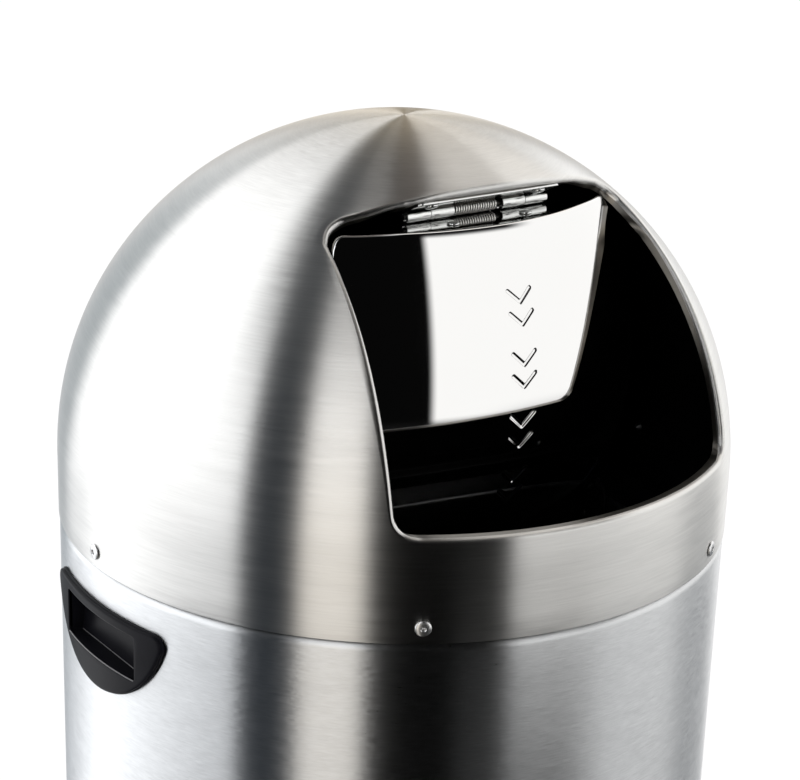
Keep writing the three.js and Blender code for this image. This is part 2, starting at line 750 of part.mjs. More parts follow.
// ---- Flap ----
// The flap when shut: a piece of a sphere inside the dome, with turned-in edges and a flat flange at the top.
// The hinge axis runs through the local origin.
function flapPanel() {
  const layer = (depth) => domeSolid(flapRadius - depth, flapRadius - depth, seamHeight);
  const rearEdge = leafSheet - knuckleRadius + clearance;
  const skin = layer(0).subtract(layer(flapSheet)).intersect(openingPrism(flapMargin));
  const lip = openingPrism(flapMargin)
    .subtract(openingPrism(flapMargin + flapSheet))
    .intersect(layer(flapSheet / 2).subtract(layer(flapLip)));
  const flange = hingeSlab(flapFlangeSlope, -flangeOffset - flapSheet, -flangeOffset, rearEdge)
    .intersect(layer(flapSheet / 2))
    .intersect(openingPrism(flapMargin));
  return skin.add(lip)
    .intersect(hingeSlab(flapFlangeSlope, -farAway, -flangeOffset, rearEdge))
    .add(flange)
    .translate(hinge.clone().negate().toArray())
    .subtract(flapRivetHoles());
}

// ---- Liner ----
// Tapered wall with a rolled rim.
function linerWall() {
  const beadHeight = linerRim - linerBead;
  let wall = ring([
    [linerBaseRadius, linerBottom],
    [linerTopRadius, beadHeight - linerBead + clearance],
    ...arc(beadRadius, beadHeight, linerBead, -90, 180, 6),
    [linerBaseRadius - linerSheet, linerBottom],
  ]);
  for (const side of [-1, 1]) {
    for (const edge of [-1, 1]) wall = wall.subtract(earRivetHole(side, edge));
  }
  return wall;
}

function linerFloor() {
  const outer = linerBaseRadius - linerSheet - clearance;
  const top = linerBottom + linerFloorRecess;
  return solid(revolve([
    [0, top - linerSheet],
    [outer - linerSheet, top - linerSheet],
    [outer - linerSheet, linerBottom],
    [outer, linerBottom],
    [outer, top],
    [0, top],
  ]));
}

// Bracket inside the wall that carries one end of the bail.
function linerEar(side) {
  const faces = [side * earFace, side * (earFace - earSheet)].sort((a, b) => a - b);
  const crownCentre = bailHeight + earTop - earWidth / 2;
  const plate = box(
    [faces[0], -earWidth / 2, linerRim - earDrop],
    [faces[1], earWidth / 2, crownCentre],
  );
  const crown = bar(earWidth / 2, faces[0], faces[1], 2 * smallSegments)
    .rotate([0, 90, 0])
    .translate([0, 0, crownCentre]);
  const hole = bar(bailWire + clearance, faces[0] - earSheet, faces[1] + earSheet)
    .rotate([0, 90, 0])
    .translate([0, 0, bailHeight]);
  let ear = plate.add(crown).subtract(hole);
  for (const edge of [-1, 1]) ear = ear.subtract(earRivetHole(side, edge));
  return ear;
}

function earRivetHole(side, edge) {
  const z = linerRim - earRivetDrop;
  return bar(leafRivetShank + clearance, 0, farAway)
    .rotate([0, 90 * side, 0])
    .translate([0, edge * earRivetSpread, z]);
}

function bailPoints() {
  const half = bailRadius;
  const bendX = half - bailBend;
  const points = [new THREE.Vector3(-bendX + bailHook, 0, 0), new THREE.Vector3(-bendX, 0, 0)];
  for (let i = 1; i <= 4; i += 1) {
    const angle = rad(90 * i / 4);
    points.push(new THREE.Vector3(-bendX - bailBend * Math.sin(angle), bailBend * (1 - Math.cos(angle)), 0));
  }
  const steps = 36;
  const start = Math.asin(bailBend / half);
  for (let i = 1; i < steps; i += 1) {
    const angle = start + (Math.PI - 2 * start) * i / steps;
    points.push(new THREE.Vector3(-half * Math.cos(angle), half * Math.sin(angle), 0));
  }
  for (let i = 5; i >= 0; i -= 1) points.push(points[i].clone().setX(-points[i].x));
  return points;
}

function bailGrip() {
  const steps = 8;
  const sleeve = (radius, angle) => {
    const points = [];
    for (let i = 0; i <= steps; i += 1) {
      const turn = rad(90 - angle / 2 + angle * i / steps);
      points.push(new THREE.Vector3(-bailRadius * Math.cos(turn), bailRadius * Math.sin(turn), 0));
    }
    return wire(points, radius, 12);
  };
  return sleeve(bailGripRadius, bailGripAngle).subtract(sleeve(bailWire + 2 * clearance, bailGripAngle + 4));
}

// ---- Assembly ----
const group = new THREE.Group();

function addAt(parent, mesh, x = 0, y = 0, z = 0) {
  mesh.position.set(x, y, z);
  parent.add(mesh);
  return mesh;
}

function addBody() {
  const gripShape = gripLeft();
  group.add(part('body_shell', bodyShell(), brushedSteel));
  group.add(part('foot_ring', footRing(), blackPlastic));
  group.add(part('base_plate', basePlate(), galvanisedSteel));
  group.add(part('handle_grip_left', gripShape, blackPlastic));
  const right = part('handle_grip_right', gripShape, blackPlastic);
  right.rotation.z = Math.PI;
  group.add(right);
}

function addDome() {
  group.add(part('dome_shell', domeShell(), brushedSteel));
  group.add(part('dome_locating_ring', locatingRing(), galvanisedSteel));
  for (let i = 0; i < domeRivetCount; i += 1) {
    const place = radialMatrix(domeRivetAngle(i), domeRadius + clearance, seamHeight + domeRivetHeight);
    const rivet = part(`dome_rivet_${i + 1}`, blindRivet(), aluminium);
    rivet.applyMatrix4(place);
    group.add(rivet);
  }
}

function addHinge() {
  const hood = new THREE.Group();
  hood.position.copy(hinge);
  hood.rotation.x = -rad(hoodSlope);
  hood.add(part('hinge_fixed_leaf', fixedLeaf(), zincSteel));
  const grip = leafSheet + domeSheet + 3 * clearance;
  [-1, 1].forEach((side, i) => {
    const rivet = part(`hinge_leaf_rivet_${i + 1}`, solidRivet(grip), zincSteel);
    rivet.rotation.x = Math.PI;
    addAt(hood, rivet, side * fixedRivetSpread, -fixedRivetForward, knuckleRadius - leafSheet - clearance);
  });
  group.add(hood);
  addAt(group, part('hinge_pin', hingePin(), zincSteel), ...hinge.toArray());
  const points = springPoints();
  console.log(`hinge spring: least gap between coils ${springGap(points).toFixed(2)} mm`);
  addAt(group, part('hinge_spring', wire(points, springWire, 5), zincSteel), ...hinge.toArray());
}

function addFlap() {
  const flap = new THREE.Group();
  flap.position.copy(hinge);
  flap.rotation.x = rad(flapRestAngle);
  flap.add(part('flap_panel', flapPanel(), polishedSteel));
  const flange = new THREE.Group();
  flange.rotation.x = -rad(flapFlangeSlope);
  flange.add(part('hinge_moving_leaf', movingLeaf(), zincSteel));
  const grip = flapSheet + leafSheet + 3 * clearance;
  [-1, 1].forEach((side, i) => {
    const rivet = part(`flap_rivet_${i + 1}`, solidRivet(grip), zincSteel);
    addAt(flange, rivet, side * flapRivetSpread, -flapRivetForward, -flangeOffset + clearance);
  });
  flap.add(flange);
  group.add(flap);
}

function addLiner() {
  group.add(part('liner_wall', linerWall(), galvanisedSteel));
  group.add(part('liner_floor', linerFloor(), galvanisedSteel));
  const outside = linerTopRadius + clearance;
  const grip = outside - (earFace - earSheet - clearance);
  const sides = [['left', -1], ['right', 1]];
  for (const [word, side] of sides) {
    group.add(part(`liner_ear_${word}`, linerEar(side), galvanisedSteel));
    [-1, 1].forEach((edge, i) => {
      const rivet = part(`ear_rivet_${word}_${i + 1}`, solidRivet(grip), galvanisedSteel);
      rivet.rotation.y = side * Math.PI / 2;
      addAt(group, rivet, side * outside, edge * earRivetSpread, linerRim - earRivetDrop);
    });
  }
  addAt(group, part('liner_bail', wire(bailPoints(), bailWire, 8), zincSteel), 0, 0, bailHeight);
  addAt(group, part('bail_grip', bailGrip(), blackPlastic), 0, 0, bailHeight);
}

addBody();
addDome();
addHinge();
addFlap();
addLiner();

export default group;
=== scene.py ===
import math
import bmesh
import bpy
import numpy as np
from mathutils import Matrix, Vector


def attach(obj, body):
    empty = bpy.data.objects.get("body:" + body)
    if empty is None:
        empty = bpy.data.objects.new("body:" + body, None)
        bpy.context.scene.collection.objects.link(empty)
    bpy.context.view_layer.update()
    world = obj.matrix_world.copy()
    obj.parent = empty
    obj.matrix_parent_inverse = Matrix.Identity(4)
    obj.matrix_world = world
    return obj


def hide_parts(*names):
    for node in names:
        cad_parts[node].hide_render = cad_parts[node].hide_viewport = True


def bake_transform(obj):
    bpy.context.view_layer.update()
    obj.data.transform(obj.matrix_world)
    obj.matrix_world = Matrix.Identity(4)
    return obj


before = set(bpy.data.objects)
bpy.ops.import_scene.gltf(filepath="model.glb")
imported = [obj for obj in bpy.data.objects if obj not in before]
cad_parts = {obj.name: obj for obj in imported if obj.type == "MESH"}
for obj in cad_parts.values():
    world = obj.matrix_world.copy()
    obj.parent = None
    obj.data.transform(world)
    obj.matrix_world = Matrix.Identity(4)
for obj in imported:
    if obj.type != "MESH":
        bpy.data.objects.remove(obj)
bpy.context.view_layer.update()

mm = 0.001
print("frame loaded")

view = {
    "place": (-0.6966, -0.9517, 1.0017),
    "turn": -36.2,      # from straight in front, round the bin
    "pan": 0.128,
    "tilt": 19.338,     # downwards
    "roll": 1.862,
    "lens": 94.3,
}


def makeCamera(v):
    pan, tilt, roll = (math.radians(v[k]) for k in ("pan", "tilt", "roll"))
    ahead = Vector((math.sin(pan) * math.cos(tilt), math.cos(pan) * math.cos(tilt), -math.sin(tilt)))
    side = Vector((math.cos(pan), -math.sin(pan), 0))
    up = side.cross(ahead)
    right = side * math.cos(roll) + up * math.sin(roll)
    top = up * math.cos(roll) - side * math.sin(roll)
    turn = Matrix.Rotation(math.radians(v["turn"]), 3, "Z")
    axes = Matrix((turn @ right, turn @ top, turn @ -ahead)).transposed()
    data = bpy.data.cameras.new("camera")
    data.lens = v["lens"]
    camera = bpy.data.objects.new("camera", data)
    camera.matrix_world = Matrix.Translation(v["place"]) @ axes.to_4x4()
    bpy.context.scene.collection.objects.link(camera)
    bpy.context.scene.camera = camera


makeCamera(view)
bpy.context.scene.view_settings.view_transform = "Standard"


class Tree:
    def __init__(self, owner):
        owner.use_nodes = True
        self.nodes = owner.node_tree.nodes
        self.links = owner.node_tree.links
        self.nodes.clear()

    def add(self, kind, settings=None, sockets=None):
        node = self.nodes.new(kind)
        for key, value in (settings or {}).items():
            setattr(node, key, value)
        for key, value in (sockets or {}).items():
            if isinstance(value, Wire):
                self.links.new(value.socket, node.inputs[key])
            else:
                node.inputs[key].default_value = value
        return node

    def out(self, node, name=0):
        return Wire(self, node.outputs[name])

    def value(self, kind, settings=None, sockets=None, name=0):
        return self.out(self.add(kind, settings, sockets), name)

    def step(self, value, low, high):   # smooth rise from 0 to 1
        return self.value("ShaderNodeMapRange", {"interpolation_type": "SMOOTHSTEP"},
                          {"Value": value, "From Min": low, "From Max": high})

    def mixColour(self, mask, a, b):
        return self.value("ShaderNodeMix", {"data_type": "RGBA"}, {0: mask, 6: a, 7: b}, 2)

    def noise(self, vector, scale, detail=2, rough=0.5):
        return self.value("ShaderNodeTexNoise", {}, {
            "Vector": vector, "Scale": scale, "Detail": detail, "Roughness": rough})

    def maths(self, how, *values):
        return self.value("ShaderNodeMath", {"operation": how}, dict(enumerate(values)))

    def vectorMaths(self, how, a, b=None, name=0):
        sockets = {0: a} if b is None else {0: a, 1: b}
        return self.value("ShaderNodeVectorMath", {"operation": how}, sockets, name)

    def mixShader(self, mask, *shaders):   # each a shader's node, or what another mix gave
        first, second = (self.out(s) if isinstance(s, bpy.types.Node) else s for s in shaders)
        return self.value("ShaderNodeMixShader", {}, {0: mask, 1: first, 2: second})


class Wire:   # a socket that can be added to, taken from, multiplied and divided
    def __init__(self, tree, socket):
        self.tree = tree
        self.socket = socket

    def __add__(self, other):
        return self.tree.maths("ADD", self, other)

    def __radd__(self, other):
        return self.tree.maths("ADD", other, self)

    def __sub__(self, other):
        return self.tree.maths("SUBTRACT", self, other)

    def __rsub__(self, other):
        return self.tree.maths("SUBTRACT", other, self)

    def __mul__(self, other):
        return self.tree.maths("MULTIPLY", self, other)

    def __rmul__(self, other):
        return self.tree.maths("MULTIPLY", other, self)

    def __truediv__(self, other):
        return self.tree.maths("DIVIDE", self, other)

    def __rtruediv__(self, other):
        return self.tree.maths("DIVIDE", other, self)


# A white tent with dark cards, seen in reflections. A card's place is that of the dome's surface
# which mirrors it towards "eye": degrees round from the camera's side, to the right, and degrees up
# from level. Each way is (from, its softness, to, its softness).
studio = {
    "white": (1.95, 1.97, 2.0),
    "far": (0.80, 0.81, 0.83),      # beyond the bin
    "farFrom": (0.80, 0.97),        # cosines between which it fades in
    "diffuse": (1.0, 1.0, 1.0),
    "camera": (1, 1, 1),
    "eye": (-0.559, -0.764, 0.322),   # from the bin towards the camera
    "cards": [
        {"round": (18, 4, 200, 1), "up": (-100, 1, 53, 4), "colour": (1.40, 1.39, 1.37)},
        {"round": (14, 4, 42, 8), "up": (31, 2, 53, 4), "colour": (0.02, 0.02, 0.02)},
        {"round": (-200, 1, -69, 8), "up": (-100, 1, 57, 8), "colour": (0.55, 0.60, 0.63)},
        {"round": (-200, 1, -60, 14), "up": (-100, 1, -2, 8), "colour": (0.22, 0.25, 0.28)},
        {"round": (-200, 1, 200, 1), "up": (64, 8, 200, 1), "colour": (0.52, 0.50, 0.47)},
        {"round": (12, 14, 72, 12), "up": (54, 8, 74, 18), "colour": (1.35, 1.28, 1.20)},
        {"round": (-27, 8, 13, 10), "up": (38, 26, 83, 8), "colour": (0.20, 0.18, 0.165)},
        {"round": (-15, 3, -3, 3), "up": (36, 12, 80, 10), "colour": (0.05, 0.045, 0.042)},
        {"round": (-200, 1, 200, 1), "up": (84, 6, 200, 1), "colour": (1.35, 1.10, 0.72)},
        {"round": (-16, 3, -3, 3), "up": (-100, 1, 15, 24), "colour": (1.42, 1.32, 1.18)},
        {"round": (-16, 3, -3, 3), "up": (-100, 1, -4, 6), "colour": (0.80, 0.76, 0.70)},
        {"round": (-42, 30, -20, 3), "up": (-100, 1, -3, 6), "colour": (0.02, 0.025, 0.03)},
        {"round": (-25, 3, -14.5, 3), "up": (-100, 1, 60, 30), "colour": (0.020, 0.026, 0.034)},
        {"round": (-31, 8, -14.5, 4), "up": (34, 14, 74, 14), "colour": (0.10, 0.105, 0.11)},
        {"round": (-4, 3, 20, 2), "up": (-100, 1, 48, 16), "colour": (0.003, 0.003, 0.003)},
        {"round": (10, 3, 40, 16), "up": (-100, 1, -2.5, 2), "colour": (0.01, 0.01, 0.01)},
        {"round": (34, 14, 200, 1), "up": (-100, 1, -3, 6), "colour": (0.34, 0.35, 0.36)},
        {"round": (56, 10, 71, 8), "up": (-100, 1, 6, 12), "colour": (0.18, 0.195, 0.21)},
    ],
}


def lightStudio(s):
    world = bpy.data.worlds.new("studio")
    bpy.context.scene.world = world
    tree = Tree(world)
    turn = math.radians(view["turn"])
    toward = (math.sin(turn), -math.cos(turn), 0)
    rightward = (math.cos(turn), math.sin(turn), 0)
    ray = tree.value("ShaderNodeTexCoord", name="Generated")

    def along(vector, axis):
        return tree.vectorMaths("DOT_PRODUCT", vector, axis, "Value")

    half = tree.vectorMaths("NORMALIZE", tree.vectorMaths("ADD", ray, s["eye"]))
    degrees = 180 / math.pi
    side = tree.maths("ARCTAN2", along(half, rightward), along(half, toward)) * degrees
    height = tree.maths("ARCSINE", along(half, (0, 0, 1))) * degrees
    colour = s["white"] + (1,)
    for card in s["cards"]:
        mask = 1
        for angle, (low, lowSoft, high, highSoft) in ((side, card["round"]), (height, card["up"])):
            rise = tree.step(angle, low - lowSoft / 2, low + lowSoft / 2)
            fall = tree.step(angle, high - highSoft / 2, high + highSoft / 2)
            mask = rise * (1 - fall) * mask
        colour = tree.mixColour(mask, colour, card["colour"] + (1,))
    beyond = tree.step(along(ray, s["eye"]) * -1, *s["farFrom"])
    colour = tree.mixColour(beyond, colour, s["far"] + (1,))
    paths = tree.add("ShaderNodeLightPath")
    colour = tree.mixColour(tree.out(paths, "Is Diffuse Ray"), colour, s["diffuse"] + (1,))
    seen = tree.add("ShaderNodeBackground", sockets={"Color": s["camera"] + (1,)})
    cast = tree.add("ShaderNodeBackground", sockets={"Color": colour})
    mixed = tree.mixShader(tree.out(paths, "Is Camera Ray"), cast, seen)
    tree.add("ShaderNodeOutputWorld", sockets={"Surface": mixed})


lightStudio(studio)
print("camera and light made")

domeCentre = 555   # height of the sphere's centre, in mm as all sizes of pieces here
domeRadius = 200


def finish(name, **plain):
    material = bpy.data.materials.new(name)
    tree = Tree(material)
    shader = tree.add("ShaderNodeBsdfPrincipled", sockets=plain)
    tree.add("ShaderNodeOutputMaterial", sockets={"Surface": tree.out(shader)})
    return material, tree, shader


def feed(tree, shader, **wires):
    for key, wire in wires.items():
        tree.links.new(wire.socket, shader.inputs[key.replace("_", " ")])


def shades(colour, spread=0.5):   # a darker and a lighter tone of a colour
    dark = tuple(c * (1 - spread) for c in colour) + (1,)
    light = tuple(min(c * (1 + spread), 1) for c in colour) + (1,)
    return dark, light


def roughened(tree, height, strength, distance):
    return tree.value("ShaderNodeBump", {}, {"Strength": strength, "Distance": distance, "Height": height})


def brushedMetal(name, look):   # brushed round the bin's axis
    plain = {"Metallic": 1, "Anisotropic": look["anisotropic"], "Anisotropic Rotation": look["turn"]}
    material, tree, shader = finish(name, **plain)
    place = tree.value("ShaderNodeTexCoord", name="Object")
    parts = tree.add("ShaderNodeSeparateXYZ", sockets={0: place})
    x, y, z = (tree.out(parts, axis) for axis in "XYZ")
    reach = tree.maths("SQRT", x * x + y * y)
    above = z - domeCentre * mm
    rise = tree.maths("MAXIMUM", above, 0)
    arc = tree.maths("ARCTAN2", rise, reach) * (domeRadius * mm) + tree.maths("MINIMUM", above, 0)
    away = reach + look["pole"]

    def strokes(around, across, detail, shift):   # long round the axis, short up the sheet
        grain = tree.value("ShaderNodeCombineXYZ", {}, {
            "X": x / away * around + shift, "Y": y / away * around, "Z": arc * across})
        return tree.noise(grain, 1, detail, 0.6)

    fine = strokes(look["around"], look["across"], 3, 0)
    broad = strokes(look["around"] * 0.35, look["across"] * 0.16, 2, 7.3)
    cloud = tree.noise(place, look["cloud"], 2)
    shade = (fine - 0.5) * look["shadeFine"] + (broad - 0.5) * look["shadeBroad"]
    shade = shade + (cloud - 0.5) * look["shadeCloud"] + 0.5
    dark, light = shades(look["colour"])
    rough = (fine - 0.5) * look["roughFine"] + (cloud - 0.5) * look["roughCloud"] + look["rough"]
    bump = roughened(tree, fine + broad * 0.5, look["bump"], 0.0002)
    feed(tree, shader, Base_Color=tree.mixColour(shade, dark, light), Roughness=rough, Normal=bump)
    return material


domeSteelLook = {
    "colour": (0.65, 0.645, 0.63), "rough": 0.33, "anisotropic": 1, "turn": 0.25,
    "around": 7, "across": 900, "cloud": 9, "pole": 0.0005,
    "shadeFine": 0.30, "shadeBroad": 0.16, "shadeCloud": 0.06,
    "roughFine": 0.16, "roughCloud": 0.05, "bump": 0.28,
}
bodySteelLook = dict(
    domeSteelLook, colour=(0.62, 0.63, 0.64), rough=0.32, around=26, across=1100, shadeFine=0.34, bump=0.34)
domeSteel = brushedMetal("dome steel", domeSteelLook)
bodySteel = brushedMetal("body steel", bodySteelLook)


def plainMetal(name, look):
    material, tree, shader = finish(name, Metallic=1)
    place = tree.value("ShaderNodeTexCoord", name="Object")
    cloud = tree.noise(place, look["cloud"], 3)
    grain = tree.noise(place, look["grain"], 2)
    shade = (cloud - 0.5) * look["shade"] + (grain - 0.5) * look["shadeGrain"] + 0.5
    dark, light = shades(look["colour"])
    colour = tree.mixColour(shade, dark, light)
    if "crown" in look:   # painted light: above a height the inside turns to a lighter colour, standing in for light that comes in through the opening
        low, high = look["crownFrom"] * mm, look["crownTo"] * mm
        height = tree.value("ShaderNodeSeparateXYZ", {}, {0: place}, "Z")
        paintedLightShare = tree.value("ShaderNodeMath", {"operation": "MULTIPLY_ADD", "use_clamp": True}, {
            0: height, 1: 1 / (high - low), 2: -low / (high - low)})   # 0 below, 1 above
        colour = tree.mixColour(paintedLightShare, colour, look["crown"] + (1,))
    rough = (cloud - 0.5) * look["roughCloud"] + look["rough"]
    bump = roughened(tree, grain, look["bump"], 0.0001)
    feed(tree, shader, Base_Color=colour, Roughness=rough, Normal=bump)
    return material


mirrorSteel = plainMetal("flap mirror", {
    "colour": (0.72, 0.72, 0.71), "rough": 0.035, "roughCloud": 0.03, "cloud": 12, "grain": 400,
    "shade": 0.03, "shadeGrain": 0.0, "bump": 0.0})
zincSteel = plainMetal("zinc", {
    "colour": (0.66, 0.67, 0.66), "rough": 0.20, "roughCloud": 0.18, "cloud": 160, "grain": 900,
    "shade": 0.16, "shadeGrain": 0.10, "bump": 0.15})
springSteel = plainMetal("spring wire", {
    "colour": (0.95, 0.92, 0.84), "rough": 0.24, "roughCloud": 0.08, "cloud": 200, "grain": 900,
    "shade": 0.12, "shadeGrain": 0.05, "bump": 0.1})
# painted shade: the pin's near-black colour stands in for the shade inside the spring
shadedPinSteel = plainMetal("shaded pin steel", {
    "colour": (0.05, 0.05, 0.048), "rough": 0.40, "roughCloud": 0.10, "cloud": 200, "grain": 900,
    "shade": 0.12, "shadeGrain": 0.05, "bump": 0.1})
rivetAluminium = plainMetal("rivet aluminium", {
    "colour": (0.74, 0.74, 0.75), "rough": 0.30, "roughCloud": 0.12, "cloud": 260, "grain": 1200,
    "shade": 0.10, "shadeGrain": 0.08, "bump": 0.2})
# painted shade: the inside's near-black colour stands in for the shade inside the dome; its lighter crown is
# painted light
shadedInsideSteel = plainMetal("dome inside painted shade", {
    "colour": (0.020, 0.020, 0.021), "rough": 0.55, "roughCloud": 0.10, "cloud": 20, "grain": 300,
    "shade": 0.20, "shadeGrain": 0.10, "bump": 0.1,
    "crown": (0.55, 0.53, 0.50), "crownFrom": 708, "crownTo": 735})
# painted shade: the turned edge's dark colour stands in for the shade inside the opening
shadedLipSteel = plainMetal("turned edge", {
    "colour": (0.24, 0.226, 0.205), "rough": 0.30, "roughCloud": 0.10, "cloud": 60, "grain": 500,
    "shade": 0.9, "shadeGrain": 0.10, "bump": 0.1})


def spangled(name, look):
    material, tree, shader = finish(name, Metallic=1)
    place = tree.value("ShaderNodeTexCoord", name="Object")
    cells = tree.value("ShaderNodeTexVoronoi", {}, {"Vector": place, "Scale": look["cells"]}, "Color")
    tone = tree.value("ShaderNodeSeparateColor", {}, {0: cells}, "Red")
    fine = tree.noise(place, look["grain"], 3)
    shade = (tone - 0.5) * look["shade"] + (fine - 0.5) * look["shadeFine"] + 0.5
    dark, light = shades(look["colour"])
    rough = (tone - 0.5) * look["roughCells"] + look["rough"]
    bump = roughened(tree, fine, look["bump"], 0.0001)
    feed(tree, shader, Base_Color=tree.mixColour(shade, dark, light), Roughness=rough, Normal=bump)
    return material


# painted shade: galvanised steel given a darker colour than its own, for the shade inside the bin
shadedGalvanised = spangled("shadedGalvanised", {
    "colour": (0.20, 0.205, 0.21), "rough": 0.50, "roughCells": 0.16, "cells": 130, "grain": 350,
    "shade": 0.30, "shadeFine": 0.12, "bump": 0.15})
# painted shade: the locating ring's near-black colour stands in for the shade inside the dome
shadedRing = spangled("painted shade ring", {
    "colour": (0.016, 0.016, 0.017), "rough": 0.60, "roughCells": 0.10, "cells": 130, "grain": 350,
    "shade": 0.25, "shadeFine": 0.12, "bump": 0.15})


def blackPlastic(name, look):
    plain = {"Metallic": 0, "Specular IOR Level": look["gloss"], "IOR": look["ior"]}
    material, tree, shader = finish(name, **plain)
    place = tree.value("ShaderNodeTexCoord", name="Object")
    grain = tree.noise(place, look["grain"], 3)
    cloud = tree.noise(place, look["cloud"], 2)
    dark, light = shades(look["colour"], 0.3)
    rough = (cloud - 0.5) * look["roughCloud"] + (grain - 0.5) * look["roughGrain"] + look["rough"]
    bump = roughened(tree, grain, look["bump"], 0.0001)
    feed(tree, shader, Base_Color=tree.mixColour(cloud, dark, light), Roughness=rough, Normal=bump)
    return material


satinBlack = blackPlastic("satin black", {
    "colour": (0.006, 0.006, 0.008), "gloss": 0.25, "ior": 1.2, "rough": 0.30,
    "roughCloud": 0.10, "roughGrain": 0.06, "cloud": 60, "grain": 2600, "bump": 0.25})
# painted highlight: a lighter grey for the bright lines along the grip's edges
highlightEdge = blackPlastic("painted highlight edge", {
    "colour": (0.14, 0.14, 0.145), "gloss": 0.5, "ior": 1.45, "rough": 0.30,
    "roughCloud": 0.10, "roughGrain": 0.06, "cloud": 300, "grain": 2600, "bump": 0.2})
print("finishes made")


def rounded(corners, steps=5, closed=True):   # a path of (a, b, corner radius)
    points = []
    count = len(corners)
    for i, (a, b, radius) in enumerate(corners):
        here = np.array((a, b), float)
        if radius <= 0 or (not closed and i in (0, count - 1)):
            points.append(here)
            continue
        before = np.array(corners[i - 1][:2], float) - here
        after = np.array(corners[(i + 1) % count][:2], float) - here
        before /= np.linalg.norm(before)
        after /= np.linalg.norm(after)
        half = math.acos(max(-1, min(1, float(before @ after)))) / 2
        start = here + before * radius / math.tan(half)
        middle = before + after
        centre = here + middle / np.linalg.norm(middle) * radius / math.sin(half)
        first = start - centre
        turn = math.pi - 2 * half
        sign = 1 if before[0] * after[1] - before[1] * after[0] < 0 else -1
        for k in range(steps + 1):
            angle = sign * turn * k / steps
            c, s = math.cos(angle), math.sin(angle)
            points.append(centre + (first[0] * c - first[1] * s, first[0] * s + first[1] * c))
    return np.array(points)


def sheetLoop(path, thickness):   # closed outline of a sheet whose middle line is a path
    path = np.array(path, float)
    along = np.gradient(path, axis=0)
    along /= np.linalg.norm(along, axis=1)[:, None]
    steps = np.diff(path, axis=0)
    steps /= np.linalg.norm(steps, axis=1)[:, None]
    normal = np.empty_like(path)
    normal[0], normal[-1] = steps[0], steps[-1]
    normal[1:-1] = steps[:-1] + steps[1:]
    normal /= np.linalg.norm(normal, axis=1)[:, None]
    stretch = np.ones(len(path))
    stretch[1:-1] = 1 / np.clip((normal[1:-1] * steps[1:]).sum(1), 0.5, 1)
    side = np.stack((-normal[:, 1], normal[:, 0]), 1) * (stretch * thickness / 2)[:, None]
    return np.concatenate((path + side, (path - side)[::-1]))


def turned(profile, columns=160):   # a closed profile of radius and height, turned about Z
    profile = np.array(profile, float)
    angles = np.arange(columns) * 2 * math.pi / columns
    points = [(r * math.cos(a), r * math.sin(a), z) for a in angles for r, z in profile]
    n = len(profile)
    faces = []
    for i in range(columns):
        for j in range(n):
            k, m = (i + 1) % columns, (j + 1) % n
            faces.append((i * n + j, k * n + j, k * n + m, i * n + m))
    return np.array(points), faces


def looped(loops, capEnds=False, closed=True):   # strips between loops of equal length
    n = len(loops[0])
    points = np.concatenate(loops)
    faces = []
    for i in range(len(loops) - 1):
        for j in range(n if closed else n - 1):
            k = (j + 1) % n
            faces.append((i * n + j, i * n + k, (i + 1) * n + k, (i + 1) * n + j))
    if capEnds:
        faces.append(tuple(range(n)))
        faces.append(tuple(range(len(points) - 1, len(points) - n - 1, -1)))
    return points, faces


def tube(path, radii, sides=12):
    path = np.array(path, float)
    radii = np.broadcast_to(radii, len(path))
    along = np.gradient(path, axis=0)
    along /= np.linalg.norm(along, axis=1)[:, None]
    start = np.array((0, 0, 1.0)) if abs(along[0][2]) < 0.9 else np.array((1.0, 0, 0))
    normal = np.cross(start, along[0])
    loops = []
    for p, t, r in zip(path, along, radii):
        normal = normal - t * (normal @ t)
        normal /= np.linalg.norm(normal)
        other = np.cross(t, normal)
        angles = np.arange(sides) * 2 * math.pi / sides
        loops.append(p + r * (np.outer(np.cos(angles), normal) + np.outer(np.sin(angles), other)))
    return looped(loops, capEnds=True)


def extruded(outline, low, high):   # an outline of forward and up, along X
    outline = np.array(outline, float)
    ends = [np.stack((np.full(len(outline), x), -outline[:, 0], outline[:, 1]), 1) for x in (low, high)]
    return looped(ends, capEnds=True)


def joined(*shapes):
    points, faces, base = [], [], 0
    for p, f in shapes:
        points.append(np.array(p))
        faces += [tuple(v + base for v in face) for face in f]
        base += len(p)
    return np.concatenate(points), faces


def moved(shape, matrix):
    points, faces = shape
    m = np.array(matrix)
    return np.array(points) @ m[:3, :3].T + m[:3, 3], faces


# Makes one visible piece: its mesh, its finish or finishes, the body it rides on and the node whose
# place it takes. finishOf gives each face's finish where there are several.
def piece(name, shape, finishes, body, node, angle=35, bevel=0, finishOf=None):
    points, faces = shape
    mesh = bpy.data.meshes.new(name)
    mesh.from_pydata((np.array(points) * mm).tolist(), [], faces)
    for material in finishes if isinstance(finishes, (list, tuple)) else [finishes]:
        mesh.materials.append(material)
    if finishOf is not None:
        mesh.polygons.foreach_set("material_index", np.array(finishOf, dtype=np.int32))
    work = bmesh.new()
    work.from_mesh(mesh)
    bmesh.ops.remove_doubles(work, verts=work.verts, dist=1e-6)
    bmesh.ops.recalc_face_normals(work, faces=work.faces)
    if bevel:
        edges = [e for e in work.edges if e.is_manifold and e.calc_face_angle(0) > math.radians(50)]
        bmesh.ops.bevel(
            work, geom=edges, offset=bevel * mm, segments=2, profile=0.5, affect="EDGES", clamp_overlap=True)
    work.to_mesh(mesh)
    work.free()
    mesh.shade_smooth()
    mesh.set_sharp_from_angle(angle=math.radians(angle))
    item = bpy.data.objects.new(name, mesh)
    bpy.context.scene.collection.objects.link(item)
    if body:
        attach(item, body)
    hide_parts(node)
    return item


bodyShape = {
    "radius": 199.4, "bottom": 3.3, "top": 518.2, "shoulder": 5, "mouth": 186, "sheet": 1.2,
    "windowHalf": 39.8, "windowLow": 462.7, "windowHigh": 495.3, "columns": 240,
}


